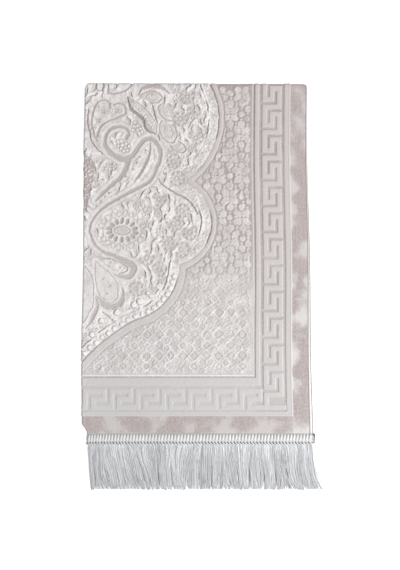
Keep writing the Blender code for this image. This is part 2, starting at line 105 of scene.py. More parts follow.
# %% Light and floor
KEY_PLACE = Vector((1.70, -0.62, 1.25))
KEY_SIZE = 0.9
KEY_POWER = 62.0
SKY_COLOUR = (0.97, 0.985, 1.0, 1.0)
SKY_STRENGTH = 0.62
FLOOR_SIZE = 6.0
FLOOR_DROP = 0.0002
FLOOR_COLOUR = (0.90, 0.90, 0.90, 1.0)
FLOOR_ROUGHNESS = 0.9
FLOOR_GLOW = 0.60
WHITE = (1.0, 1.0, 1.0, 1.0)


def set_inputs(node, **values):
    """Sets a node's own inputs; an underscore in a keyword stands for a space."""
    for name, value in values.items():
        node.inputs[name.replace("_", " ")].default_value = value


key_data = bpy.data.lights.new("key", "AREA")
key_data.size = KEY_SIZE
key_data.energy = KEY_POWER
key = bpy.data.objects.new("key", key_data)
key.location = KEY_PLACE
key.rotation_euler = (-KEY_PLACE).to_track_quat("-Z", "Y").to_euler()
bpy.context.scene.collection.objects.link(key)

sky = bpy.data.worlds.new("sky")
sky.use_nodes = True
set_inputs(sky.node_tree.nodes["Background"], Color=SKY_COLOUR, Strength=SKY_STRENGTH)
bpy.context.scene.world = sky
bpy.context.scene.view_settings.view_transform = "Standard"

bpy.ops.mesh.primitive_plane_add(size=FLOOR_SIZE, location=(0.0, 0.0, -FLOOR_DROP))
floor = bpy.context.object
floor.name = "floor"
floor_finish = bpy.data.materials.new("floor_white")
floor_finish.use_nodes = True
floor_shader = floor_finish.node_tree.nodes["Principled BSDF"]
set_inputs(floor_shader, Base_Color=FLOOR_COLOUR, Roughness=FLOOR_ROUGHNESS)
set_inputs(floor_shader, Emission_Color=WHITE, Emission_Strength=FLOOR_GLOW)
floor.data.materials.append(floor_finish)
floor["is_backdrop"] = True
print("floor and light are set")

# %% [markdown]
# ## Flat cloth, folded cloth
# A rug is easier to design flat. So each piece is drawn on the flat rug, in three flat
# coordinates: u across it, v along it and h up from its backing. One function then takes
# every point to its place in the folded stack. The plain model was made the same way, so
# these sizes are the same as its own, and what is drawn here lands on it exactly.

# %% Sizes of the flat rug and its folds, in metres
RUG_WIDTH = 0.700
RUG_LENGTH = 1.100
PILE_TOP = 0.0030
BARE_END = 0.0008
BACKS_APART = 0.0008
FACES_APART = 0.0008
CREASE_SHIFT = 0.0005
CREASE_SLANT = 0.00364
CROSS_SHIFT = 0.0020
SIDE_RADIUS = (PILE_TOP + BACKS_APART) / 2
CROSS_RADIUS = (FACES_APART + BACKS_APART) / 2 + PILE_TOP
SIDE_ARC = SIDE_RADIUS * np.pi / 2
CROSS_ARC = CROSS_RADIUS * np.pi / 2
STACK_MIDDLE = CROSS_RADIUS + SIDE_RADIUS + PILE_TOP / 2
BINDING_WIDTH = 0.0024
CLEARANCE = 0.0003
CLOTH_HALF_WIDTH = RUG_WIDTH / 2 - BINDING_WIDTH - CLEARANCE
HEADING_WIDTH = 0.016
HEADING_LAP = 0.008

# %% How the stack settles
# It is puffed at its folds and its end, and uneven between them. Its edges waver, its
# crease is drawn in at the fringe, and the corners of the far fold are rounded.
SIDE_PUFF = 0.20
CROSS_PUFF = 0.16
END_PUFF = 0.06
PUFF_REACH = 0.025
UNEVEN = 0.030
BROAD_WAVE = (0.061, 0.083)
BROAD_WAVE_STARTS = (1.3, 0.4)
SLANT_WAVE = (0.034, 0.120)
SLANT_WAVE_SHARE = 0.6
EDGE_WOBBLE = 0.0007
EDGE_WOBBLE_REACH = 0.048
EDGE_WOBBLE_START = 1.0
END_PULL = 0.0075
END_PULL_REACH = 0.040
END_PULL_LENGTH = 0.014
END_PUFF_REACH = 0.050
CORNER = 0.005
CORNER_REACH = 0.030
CORNER_MOST = 1.2


def smooth(value):
    """0 to 1, with a soft start and a soft stop."""
    value = np.clip(value, 0.0, 1.0)
    return value * value * (3 - 2 * value)


def crease(v):
    """Where the lengthwise crease crosses the rug at v; it runs slightly askew."""
    return CREASE_SHIFT - CREASE_SLANT * v


# %% From the flat rug to the folded stack
def settled(x, y, z):
    """The soft, uneven lie of the stack."""
    end = -(RUG_LENGTH / 2 - CROSS_ARC - HEADING_LAP)
    puff = SIDE_PUFF * np.exp(-np.maximum(0.0, x) / PUFF_REACH)
    puff = puff + CROSS_PUFF * np.exp(-np.maximum(0.0, -y) / PUFF_REACH)
    puff = puff + END_PUFF * smooth((end + END_PUFF_REACH - y) / END_PUFF_REACH)
    wave = np.sin(x / BROAD_WAVE[0] + BROAD_WAVE_STARTS[0])
    wave = wave * np.sin(y / BROAD_WAVE[1] + BROAD_WAVE_STARTS[1])
    wave = wave + SLANT_WAVE_SHARE * np.sin(x / SLANT_WAVE[0] - y / SLANT_WAVE[1])
    pull = END_PULL * smooth((end + END_PULL_LENGTH - y) / END_PULL_LENGTH)
    pull = pull * np.exp(-np.maximum(0.0, x) / END_PULL_REACH)
    wobble = EDGE_WOBBLE * np.sin(y / EDGE_WOBBLE_REACH + EDGE_WOBBLE_START)
    into_corner = np.maximum(CORNER - SIDE_RADIUS - x, x - (RUG_WIDTH / 2 - SIDE_ARC - CORNER))
    rounding = CORNER * np.clip(into_corner / CORNER, 0.0, CORNER_MOST) ** 2
    y = y - rounding * smooth((y + CORNER_REACH) / CORNER_REACH)
    return x + pull + wobble, y, z * (1 + puff + UNEVEN * wave)


def folded(u, v, h):
    """Places in the stack of flat points, before the stack is moved to its origin."""
    s = u - crease(v)
    side_radius = SIDE_RADIUS + h - PILE_TOP / 2
    side_angle = np.clip(s / SIDE_RADIUS, -np.pi / 2, np.pi / 2)
    x = np.maximum(np.abs(s) - SIDE_ARC, 0.0) - side_radius * np.cos(side_angle)
    lift = side_radius * np.sin(side_angle)
    q = v - CROSS_SHIFT
    cross_radius = CROSS_RADIUS + lift
    cross_angle = np.clip(q / CROSS_RADIUS, -np.pi / 2, np.pi / 2)
    y = cross_radius * np.cos(cross_angle) - np.maximum(np.abs(q) - CROSS_ARC, 0.0)
    z = STACK_MIDDLE - cross_radius * np.sin(cross_angle)
    return settled(x, y, z)


# %% Move the stack to the model's origin
along_fold = np.linspace(-RUG_LENGTH / 2 + HEADING_LAP, 0.0, 2000)
fold_x = folded(crease(along_fold), along_fold, np.full_like(along_fold, PILE_TOP))[0]
cloth_low, cloth_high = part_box("rug_cloth")
ORIGIN_X = cloth_low.x - fold_x.min()
ORIGIN_Y = cloth_high.y - (CROSS_RADIUS + SIDE_RADIUS + PILE_TOP / 2)
print("the fold lies at x", round(ORIGIN_X, 4), "and y", round(ORIGIN_Y, 4))


def placed(u, v, h):
    """Points of the flat rug as an array of places in the model."""
    x, y, z = folded(u, v, h)
    return np.stack([x + ORIGIN_X, y + ORIGIN_Y, z], axis=-1)


# %% [markdown]
# ## Drawing the carving
# The rug's pattern is the same in all four quarters, so one quarter is enough. It is
# drawn as a relief chart: a fine grid that says how high the pile stands, 1 on a ridge, 0
# on the carved ground, and a little less in a deep cut. Each motif is a stroke, a curve
# with a changing width, as a brush would leave it. A stroke sets the height inside its
# outline, with a soft flank about a millimetre wide, because pile has no sharp edges.
# Strokes are quick to draw and quick to change, and no picture is needed.

# %% The relief chart of one quarter
# The velvet's colour reads this chart too: levels above about 0.8 get a painted highlight, levels
# below 0 a painted shade.
CHART_PITCH = 0.45 * MM
SOFT_FLANK = 1.1 * MM
SEED = 7

chart_u = np.arange(0.0, RUG_WIDTH / 2 + 2 * MM, CHART_PITCH)
chart_t = np.arange(0.0, RUG_LENGTH / 2 + 2 * MM, CHART_PITCH)
relief = np.zeros((len(chart_t), len(chart_u)))
grid_u, grid_t = np.meshgrid(chart_u, chart_t)
print("the chart has", relief.size, "places")


# %% Strokes
def gap_outside(path, u, t):
    """How far places lie outside a stroke; below zero is inside it."""
    best = np.full(np.shape(u), 1.0)
    for (ua, ta, wa), (ub, tb, wb) in zip(path[:-1], path[1:]):
        du, dt = ub - ua, tb - ta
        share = ((u - ua) * du + (t - ta) * dt) / max(du * du + dt * dt, 1e-12)
        share = np.clip(share, 0.0, 1.0)
        away = np.hypot(u - ua - share * du, t - ta - share * dt)
        best = np.minimum(best, away - wa - share * (wb - wa))
    return best


def inside(gap, flank=SOFT_FLANK):
    return smooth(0.5 - gap / flank)


def window(path, reach):
    """The rows and columns of the chart that lie within reach of a stroke."""
    low = (path.min(axis=0)[:2] - reach) / CHART_PITCH
    high = (path.max(axis=0)[:2] + reach) / CHART_PITCH
    low = np.maximum(low.astype(int), 0)
    high = np.maximum(high.astype(int) + 2, 0)
    return slice(low[1], high[1]), slice(low[0], high[0])


def raise_to(level, share, part=...):
    """Moves the chart, or a part of it, towards a level by a share from 0 to 1."""
    relief[part] += (level - relief[part]) * share


def stamp(path, level, line=None, flank=SOFT_FLANK):
    """Sets the pile's height inside a stroke, or on a line along its outline."""
    part = window(path, path[:, 2].max() + flank + (line or 0.0))
    gap = gap_outside(path, grid_u[part], grid_t[part])
    if line is not None:
        gap = np.abs(gap) - line
    raise_to(level, inside(gap, flank), part)


# %% Curves, dots and leaves, in millimetres
def curve(points, steps=7):
    """A smooth stroke through a few rows of u, t and half width in millimetres."""
    rows = np.array(points, float)
    padded = np.vstack([2 * rows[0] - rows[1], rows, 2 * rows[-1] - rows[-2]])
    made = []
    for a, b, c, d in zip(padded[:-3], padded[1:-2], padded[2:-1], padded[3:]):
        for i in range(steps):
            x = i / steps
            cubic = (2 * a - 5 * b + 4 * c - d) * x * x + (3 * b - a - 3 * c + d) * x ** 3
            made.append(0.5 * (2 * b + (c - a) * x + cubic))
    made.append(rows[-1])
    return np.array(made) * MM


def dot(u, t, radius):
    return np.array([(u, t, radius), (u, t, radius)]) * MM


def leaf(u, t, length, width, angle, steps=8):
    """A pointed oval, its length along an angle in degrees from u towards t."""
    places = np.linspace(-1.0, 1.0, steps + 1)
    turn = np.radians(angle)
    half = width / 2 * (1 - places ** 2) ** 0.75
    along = places * length / 2 * 0.92
    return np.stack([u + along * np.cos(turn), t + along * np.sin(turn), half], 1) * MM


def ring_of(count, u, t, across, along=None, start=0.0):
    """Places round an ellipse, with their angles in degrees."""
    along = across if along is None else along
    angles = start + 360.0 * np.arange(count) / count
    turns = np.radians(angles)
    return zip(u + across * np.cos(turns), t + along * np.sin(turns), angles)


# %% [markdown]
# ## The frame and its key
# Two plain bands and a running Greek key frame the field. The key is one unbroken ridge
# that turns back on itself. It is drawn as a path of square turns, one unit repeated
# along each side, with a width of its own. Its distances are given inwards from the
# rug's edges, as a weaver would count them.

# %% Sizes of the frame, in from the long edge and in from the end
SIDE_OUTER_BAND = (0.0269, 0.0362)
SIDE_INNER_BAND = (0.0755, 0.0823)
SIDE_KEY = (0.0406, 0.0706)
SIDE_FIELD_EDGE = 0.0845
END_OUTER_BAND = (0.0340, 0.0410)
END_INNER_BAND = (0.0800, 0.0918)
END_KEY = (0.0438, 0.0752)
END_FIELD_EDGE = 0.0936
KEY_RIDGE = 0.0072
KEY_LONG_SHARE = 0.714
KEY_SHORT_SHARE = 0.286
SIDE_KEY_UNITS = 12
SIDE_KEY_FIRST = -0.0045
SIDE_KEY_PITCH = 0.0407
END_KEY_UNITS = 7
END_KEY_FIRST = 0.0089
END_KEY_PITCH = 0.0394
KEY_STUB_GAP = 0.0016
FRAME_FLANK = 1.2 * MM
FRAME_LEVEL = 0.60

in_from_side = RUG_WIDTH / 2 - grid_u
in_from_end = RUG_LENGTH / 2 - grid_t


def inside_frame(side, end):
    """Below zero inside a rectangle that keeps its distance from the side and the end."""
    return np.maximum(side - in_from_side, end - in_from_end)


# %% The two bands, and a bright rim on the outer one
OUTER_RIM_IN = 0.9 * MM
# Standing near 1, the rim also takes part of the velvet's painted highlight.
OUTER_RIM_LEVEL = 0.98


def line_at(gap, half, flank):
    """1 on a line where a distance is zero, and fading to 0 beside it."""
    return inside(np.abs(gap) - half, flank)


for side, end in ((SIDE_OUTER_BAND, END_OUTER_BAND), (SIDE_INNER_BAND, END_INNER_BAND)):
    outer = inside_frame(side[0], end[0])
    inner = -inside_frame(side[1], end[1])
    relief = np.maximum(relief, FRAME_LEVEL * inside(np.maximum(outer, inner), FRAME_FLANK))
to_rim = inside_frame(SIDE_OUTER_BAND[0], END_OUTER_BAND[0]) + OUTER_RIM_IN
raise_to(OUTER_RIM_LEVEL, line_at(to_rim, 0.5 * MM, 1.0 * MM))
print("bands drawn")


# %% The running key
def key_unit(start, pitch):
    """One turn of the key, as places along it and rows: 0 outer, 1 middle, 2 inner."""
    long_run = start + KEY_LONG_SHARE * pitch
    short_run = start + KEY_SHORT_SHARE * pitch
    places = (start, start, long_run, long_run, short_run, short_run)
    return list(zip(places, (0, 2, 2, 1, 1, 0)))


def key_rows(band):
    first = band[0] + KEY_RIDGE / 2
    last = band[1] - KEY_RIDGE / 2
    return first, (first + last) / 2, last


key_columns = [RUG_WIDTH / 2 - d for d in key_rows(SIDE_KEY)]
key_end_rows = [RUG_LENGTH / 2 - d for d in key_rows(END_KEY)]
key_path = [(-0.01, key_end_rows[0])]
for i in range(END_KEY_UNITS):
    unit = key_unit(END_KEY_FIRST + i * END_KEY_PITCH, END_KEY_PITCH)
    key_path += [(place, key_end_rows[row]) for place, row in unit]
last_turn = SIDE_KEY_FIRST + SIDE_KEY_UNITS * SIDE_KEY_PITCH
key_path += [(key_columns[2], key_end_rows[0]), (key_columns[2], last_turn)]
key_path += [(key_columns[0], last_turn)]
for i in reversed(range(SIDE_KEY_UNITS)):
    unit = key_unit(SIDE_KEY_FIRST + i * SIDE_KEY_PITCH, SIDE_KEY_PITCH)
    key_path += [(key_columns[row], place) for place, row in reversed(unit)]

corner_stub = [(key_columns[2] + KEY_RIDGE / 2 + KEY_STUB_GAP, key_end_rows[0])]
corner_stub += [(key_columns[0] + KEY_RIDGE / 2, key_end_rows[0])]


def stamp_square(path, half_width, level):
    """A ridge of square turns: each straight run is a box with square corners."""
    for (ua, ta), (ub, tb) in zip(path, path[1:]):
        middle_u, middle_t = (ua + ub) / 2, (ta + tb) / 2
        reach_u = abs(ub - ua) / 2 + half_width
        reach_t = abs(tb - ta) / 2 + half_width
        part = window(np.array([(ua, ta, 0.0), (ub, tb, 0.0)]), half_width + FRAME_FLANK)
        across = np.abs(grid_u[part] - middle_u) - reach_u
        along = np.abs(grid_t[part] - middle_t) - reach_t
        height = level * inside(np.maximum(across, along), FRAME_FLANK)
        relief[part] = np.maximum(relief[part], height)


stamp_square(key_path, KEY_RIDGE / 2, FRAME_LEVEL)
stamp_square(corner_stub, KEY_RIDGE / 2, FRAME_LEVEL)

# %% The key is carved less deep along the end
END_KEY_GROUND = 0.24

between = np.maximum(END_OUTER_BAND[1] - in_from_end, in_from_end - END_INNER_BAND[0])
shallow = inside(between, 1.5 * MM) * smooth((in_from_side - SIDE_INNER_BAND[0]) / (12 * MM))
relief = np.maximum(relief, END_KEY_GROUND * shallow)
print("the key turns", len(key_path), "times in a quarter of the rug")

# %% [markdown]
# ## The field and its medallion
# Inside the frame lies the field, and in its middle a scalloped medallion. The lobes of
# its edge are arcs, each through three places. The chart needs the distance to that edge
# twice: for the smooth ribbon that runs along it, and for the bead row and the ridge
# inside it. So it is measured once, for every place of the chart, and kept.

# %% The scalloped edge
LOBES = (
    ((201.5, 0), (215.5, 59), (166, 155)),
    ((166, 155), (203.5, 222.5), (154, 288.5)),
    ((154, 288.5), (139, 338), (88.8, 374)),
    ((88.8, 374), (45.5, 401), (0, 448)),
)


def arc_through(a, b, c, steps=24):
    """Places along the circular arc from a through b to c."""
    a, b, c = (complex(*p) for p in (a, b, c))
    w = (c - a) / (b - a)
    centre = a + (b - a) * (w - abs(w) ** 2) / (2j * w.imag)
    start, middle, end = (np.angle(p - centre) for p in (a, b, c))
    turn = np.angle(np.exp(1j * (middle - start))) + np.angle(np.exp(1j * (end - middle)))
    angles = start + turn * np.linspace(0, 1, steps + 1)
    return centre + abs(a - centre) * np.exp(1j * angles)


edge_places = np.concatenate([arc_through(*lobe) for lobe in LOBES])
edge_places = np.append(edge_places, complex(-10.0, 458.0)) * MM
edge_path = np.stack([edge_places.real, edge_places.imag, 0 * edge_places.real], 1)
edge_u_at_row = np.interp(chart_t, edge_path[:, 1], edge_path[:, 0])
in_medallion = grid_u < edge_u_at_row[:, None]
to_edge = np.full(relief.shape, 1.0)
rows_of_medallion = slice(0, int(0.50 / CHART_PITCH))
distance = gap_outside(edge_path, grid_u[rows_of_medallion], grid_t[rows_of_medallion])
to_edge[rows_of_medallion] = distance
to_edge = np.where(in_medallion, -to_edge, to_edge)
in_field = inside_frame(SIDE_FIELD_EDGE, END_FIELD_EDGE) < 0
print("the medallion covers", round(float(in_medallion.mean()), 2), "of the quarter")

# %% [markdown]
# ## The lattice round the medallion
# Between the medallion and the frame, pebble-like rounds stand in rows, close together.
# Every fourth one in a row is a flower of four round petals, and its neighbour's flowers
# are two rows on. Small rounds fill what is left. Towards the end of the rug the pile is
# pressed the other way: the gaps between the shapes stand up as a thin light net, and the
# shapes lie in its meshes. So the lattice is drawn twice, once each way, and one chart
# fades into the other. The rows are a little uneven, by a seeded generator.

# %% Sizes of the lattice, in millimetres
LATTICE_FIRST = (246.5, 15.0)
LATTICE_STEP = (18.2, 16.4)
LATTICE_SIZE = (14, 28)
LATTICE_UNEVEN = 0.7
FLOWER_EVERY = 4
BESIDE_FLOWER = 2
LINES_FROM = 272.0
LINES_FULL = 350.0
OCTAGON_CUT = 1.18
PEBBLE_SIZE = (5.3, 6.1)
SMALLER_PEBBLE_SIZE = (4.3, 5.0)
PEBBLE_LEVEL = (0.62, 0.76)
PEBBLE_FLANK = 1.9 * MM
PETAL_OUT = 8.3
PETAL_SIZE = (4.8, 5.3)
SMALL_ROUNDS = ((9.1, 8.2, 3.3), (9.3, -0.6, 1.9), (0.6, 8.2, 1.6), (9.1, 3.9, 1.4))

chance = np.random.default_rng(SEED)
framed = relief
low_part = smooth((grid_t / MM - LINES_FROM) / (LINES_FULL - LINES_FROM))


def jittered(u, t, reach):
    """A place a little way off, by chance."""
    return u + chance.uniform(-reach, reach), t + chance.uniform(-reach, reach)


# %% Rounds that stand up, towards the middle of the rug
def pebble(u, t, radius):
    stamp(dot(u, t, radius), chance.uniform(*PEBBLE_LEVEL), flank=PEBBLE_FLANK)


def petal(u, t, from_u, from_t):
    """One round petal, joined to the middle of its flower."""
    top = chance.uniform(*PEBBLE_LEVEL)
    stamp(dot(u, t, chance.uniform(*PETAL_SIZE)), top, flank=PEBBLE_FLANK)
    stamp(dot((2 * from_u + u) / 3, (2 * from_t + t) / 3, 2.4), top - 0.08, flank=1.8 * MM)


# %% Rounds that lie in a raised net, towards the rug's end
def stamp_octagon(u, t, radius, level):
    """A patch with eight straight sides."""
    part = window(dot(u, t, 0.0), (radius + 2.0) * MM)
    across = np.abs(grid_u[part] - u * MM)
    along = np.abs(grid_t[part] - t * MM)
    reach = np.maximum(np.maximum(across, along), (across + along) / OCTAGON_CUT)
    raise_to(level, inside(reach - radius * MM, 1.0 * MM), part)


def meshed_pebble(u, t, radius):
    outline = chance.uniform(1.5, 1.65) * radius
    stamp_octagon(u, t, outline, chance.uniform(1.0, 1.15))
    stamp_octagon(u, t, outline - 1.3, chance.uniform(0.58, 0.68))
    stamp_octagon(u, t, radius, chance.uniform(0.30, 0.48))
    stamp(dot(u + 0.6, t, 0.6 * radius), chance.uniform(0.56, 0.80), flank=2.0 * MM)


def meshed_petal(u, t, *flower):
    stamp_octagon(u, t, 6.4, chance.uniform(0.95, 1.1))
    stamp_octagon(u, t, 5.2, chance.uniform(0.50, 0.62))
    stamp(dot(u + 0.5, t, 2.6), chance.uniform(0.62, 0.82), flank=2.0 * MM)


# %% The lattice, twice
def lattice_places():
    """Every place of the lattice, and how many rows it stands past a flower."""
    for column in range(LATTICE_SIZE[0]):
        for row in range(LATTICE_SIZE[1]):
            u = LATTICE_FIRST[0] - column * LATTICE_STEP[0]
            t = LATTICE_FIRST[1] + row * LATTICE_STEP[1]
            yield *jittered(u, t, LATTICE_UNEVEN), (row + 2 * (column % 2)) % FLOWER_EVERY


def draw_lattice(one_round, one_petal, small_share, centre):
    for u, t, _ in lattice_places():
        for across, along, radius in SMALL_ROUNDS:
            size = small_share * radius * chance.uniform(0.8, 1.15)
            stamp(dot(*jittered(u + across, t + along, 0.8), size), 0.60, flank=1.6 * MM)
    for u, t, past in lattice_places():
        if past:
            sizes = SMALLER_PEBBLE_SIZE if past == BESIDE_FLOWER else PEBBLE_SIZE
            one_round(u, t, chance.uniform(*sizes))
    for u, t, past in lattice_places():
        if not past:
            for pu, pt, _ in ring_of(4, u, t, PETAL_OUT, start=45.0):
                one_petal(*jittered(pu, pt, 0.4), u, t)
            stamp(dot(u, t, 1.3), centre)


relief = np.where(in_field, 0.06, framed)
draw_lattice(pebble, petal, 1.3, -0.1)
upper_lattice = relief
relief = np.where(in_field, 0.72, framed)
draw_lattice(meshed_pebble, meshed_petal, 0.6, 0.35)
relief = upper_lattice + (relief - upper_lattice) * low_part
relief = np.where(in_field, relief, framed)
print("lattice drawn")

# %% Inside the medallion the pile starts at its full height
# Towards the rug's end it stands a little above 1, where the velvet paints more highlight.
relief = np.where(in_medallion & in_field, 1.0 + 0.10 * low_part, relief)
print("the medallion is ready for its motifs")

# %% [markdown]
# ## Ribbon, beads and ridge
# A smooth ribbon follows the scallops. Inside it runs a channel of small beads, and then
# a plain ridge with a deep cut beside it. Ribbon, channel and ridge are bands of distance
# from the edge that was measured above, so they follow it without any drawing of their
# own. The beads stand at even steps along it, large ones on the two lobes nearest the
# rug's end, where the ribbon is wider too.

# %% Bands along the scalloped edge
NARROW_RIBBON = 3.3 * MM
WIDE_RIBBON = 4.9 * MM
RIBBON_WIDENS = (270 * MM, 320 * MM)
GROOVE_LINE = 0.8 * MM
RIBBON_LEVEL = 0.72
RIDGE_AT = 20.0 * MM
RIDGE_SHOWS = ((-40, 92), (194, 246), (268, 362), (372, 480))
GROOVE_SHOWS = ((-40, 96), (120, 140), (196, 262), (300, 480))
SHOWS_OVER = 16

share_wide = smooth((grid_t - RIBBON_WIDENS[0]) / (RIBBON_WIDENS[1] - RIBBON_WIDENS[0]))
ribbon_half = NARROW_RIBBON + (WIDE_RIBBON - NARROW_RIBBON) * share_wide


def band(low, high, level, flank=SOFT_FLANK):
    """Sets the height between two distances from the scalloped edge."""
    raise_to(level, inside(np.maximum(low - to_edge, to_edge - high), flank) * in_field)


def shows(stretches):
    """0 to 1 along the rug: 1 on the stretches, in millimetres, with soft ends."""
    t = grid_t / MM
    ends = (smooth((t - a) / SHOWS_OVER) * smooth((b - t) / SHOWS_OVER) for a, b in stretches)
    return sum(ends)


band(-RIDGE_AT, -ribbon_half, 0.75 + 0.3 * share_wide, 1.6 * MM)
band(0.0, ribbon_half + 3 * GROOVE_LINE, 0.08 + 0.3 * low_part, 2.4 * MM)
band(-ribbon_half - 1.9 * GROOVE_LINE, 0.0, 0.35 - 0.9 * shows(GROOVE_SHOWS))
band(-ribbon_half, ribbon_half, RIBBON_LEVEL, 2.0 * MM)
band(-RIDGE_AT, -RIDGE_AT + 3.4 * MM, 0.8 + 0.5 * shows(RIDGE_SHOWS), 1.8 * MM)
band(-RIDGE_AT - GROOVE_LINE, -RIDGE_AT + 0.6 * GROOVE_LINE, 0.5 - 0.9 * shows(RIDGE_SHOWS))
print("ribbon and ridge drawn")

# %% A bright rim along the field's edge, and a cut beside it
RIM_IN = 1.7 * MM
CUT_OUT = 0.9 * MM
# At the end the rim stands high enough for the velvet's painted highlight; the cut goes below 0,
# where the velvet paints shade.
RIM_LEVEL_AT_END = 1.15
RIM_LEVEL_AT_SIDE = 0.5
CUT_LEVEL = -0.25

to_field_edge = inside_frame(SIDE_FIELD_EDGE, END_FIELD_EDGE)
strip = line_at(to_field_edge + 2 * RIM_IN, RIM_IN, 2.0 * MM)
raise_to(0.25 + 0.4 * low_part, strip * ~in_medallion)
at_the_end = in_from_end - END_FIELD_EDGE < in_from_side - SIDE_FIELD_EDGE
rim_level = np.where(at_the_end, RIM_LEVEL_AT_END, RIM_LEVEL_AT_SIDE)
raise_to(rim_level, line_at(to_field_edge + RIM_IN, 0.9 * MM, 1.2 * MM))
raise_to(CUT_LEVEL, line_at(to_field_edge - CUT_OUT, 0.6 * MM, 1.1 * MM))
print("the field's edge has its rim")

# %% Beads in the channel
# In from the edge, apart, from and to, in millimetres; the small ones start at the middle.
LARGE_BEADS = (10.4, 11.2, 300, 450)
SMALL_BEADS = ((7.4, 300), (10.6, 300), (14.0, 300), (17.0, 450))
SMALL_BEAD_PITCH = 4.3


def along_edge(offset, pitch, start_t, end_t):
    """Places at even steps along the scalloped edge, moved in by an offset."""
    offset, pitch, start_t, end_t = np.array((offset, pitch, start_t, end_t)) * MM
    steps = np.hypot(*np.diff(edge_path[:, :2], axis=0).T)
    run = np.concatenate([[0.0], np.cumsum(steps)])
    places = np.arange(run[0], run[-1], pitch)
    u = np.interp(places, run, edge_path[:, 0])
    t = np.interp(places, run, edge_path[:, 1])
    du, dt = np.gradient(u), np.gradient(t)
    size = np.hypot(du, dt)
    u, t = u - offset * dt / size, t + offset * du / size
    keep = (t > start_t) & (t < end_t)
    return np.stack([u[keep], t[keep]], 1) / MM


for u, t in along_edge(*LARGE_BEADS):
    stamp(dot(u - 0.8, t, 4.7), 0.05, flank=1.5 * MM)
    stamp(dot(u, t, 3.7), 1.45, flank=2.8 * MM)
for offset, last in SMALL_BEADS:
    for u, t in along_edge(offset, SMALL_BEAD_PITCH, -1, last):
        place = jittered(u, t, 1.5)
        stamp(dot(*place, chance.uniform(0.8, 1.7)), chance.uniform(0.9, 1.2), flank=1.5 * MM)
print("beads drawn")

# %% [markdown]
# ## Scroll, leaf and paisley
# Large curved motifs fill the medallion: a scroll that curls into itself, a long leaf
# that wraps round it, and paisleys. Each is a curve through a few places with a width at
# each place, so that it swells and tapers as a drawn line does. What is carved is shown
# by a low level, and what is only outlined by a thin line. Where motifs and small filling
# meet, the motifs win, so their places are marked now and they are carved last.

# %% The scroll and the long leaf
scroll = curve((
    (66, 87, 2.6), (70, 79, 2.0), (65, 71.5, 1.8), (54, 68.7, 1.8), (40, 74, 1.9), (33, 88, 2.1),
    (34.5, 100, 2.4), (42, 110, 3.0), (53, 117, 3.7), (66, 120.5, 4.2), (69, 128, 3.6),
    (60.5, 146, 3.0), (48, 157.5, 2.6), (33, 172, 2.3), (19, 186, 0.7),
))
long_leaf = curve((
    (64, 119, 3.6), (76, 114.5, 2.8), (86.5, 100, 2.6), (97, 88.5, 3.0), (109, 89.5, 3.0),
    (119, 104, 2.5), (118.5, 122, 2.2), (106, 151.5, 1.8), (87, 163.7, 2.2), (61, 178.5, 1.8),
    (35, 193.5, 1.6), (18, 211, 1.1), (11.3, 232, 1.0), (16, 250, 1.2), (29.5, 264, 1.7),
    (53, 273.5, 2.6), (74, 284.5, 3.9), (79, 293, 4.2), (71, 303.5, 3.2), (49, 301, 0.6),
))
leaf_core = curve((
    (105, 95, 0.8), (104, 111, 2.2), (98, 127, 3.0), (90, 142, 2.4), (79, 156.5, 0.6),
))
leaf_light = curve(((108, 104, 0.8), (106, 122, 3.2), (97, 140, 2.6), (84, 157, 0.8)))
LEAF_DOTS = ((97, 106), (88, 116), (83.5, 125.6), (78, 135), (66, 147.5), (57.4, 158))
LEAF_DOTS += ((41, 172.8), (34.7, 179), (26.9, 186), (20.5, 193.7))
SCROLL_BEADS = ((54, 92), (53.5, 98), (58, 103), (63, 107), (69, 106), (60, 97), (65, 101))
SCROLL_BEADS += ((71, 99.5), (59, 91), (66, 94.5), (80, 60), (84, 66), (79, 67), (88, 71))
SCROLL_BEADS += ((84, 74), (91, 77), (78, 74))

# %% Paisleys of the upper part, towards the middle of the rug
paisley_top = curve((
    (40, 37, 1.8), (37.5, 29.5, 1.2), (29, 25, 1.0), (18.5, 33, 1.1), (13, 52, 1.1),
    (14, 74, 1.2), (21, 91, 0.8),
))
paisley_hook = curve((
    (46, 34, 0.7), (54, 31.5, 1.0), (63, 36, 1.1), (64.5, 46, 1.3), (54, 53, 1.3),
    (38, 59, 1.4), (26, 69, 1.6), (21.5, 84, 1.6),
))
paisley_outer = curve((
    (7, 40, 0.6), (6.5, 58, 0.8), (9.5, 78, 0.9), (16, 96, 0.9), (30, 112, 0.6),
))
paisley_body = curve(((46, 38, 5.0), (30, 42, 11.0), (21, 60, 7.0), (18, 78, 3.0)))
paisley_ear = curve(((48, 42, 6.0), (55, 43, 7.0)))
half_leaf = curve((
    (38.5, -3, 1.3), (36.8, 8, 1.3), (37.5, 14.5, 1.3), (50, 15.2, 1.3), (63, 10.5, 1.3),
    (74, 1, 1.3), (77, -4, 1.3),
))
arch = curve((
    (84.5, 18, 1), (88.5, 8.5, 2), (97, 4, 2.6), (111, 3.4, 2.9), (124, 8, 2.2), (133, 15, 0.8),
))
side_line = curve((
    (107.4, 34.5, 0.8), (110.5, 48, 1.0), (115.5, 62, 1.0), (116, 76, 1.1), (119.5, 90, 0.8),
))

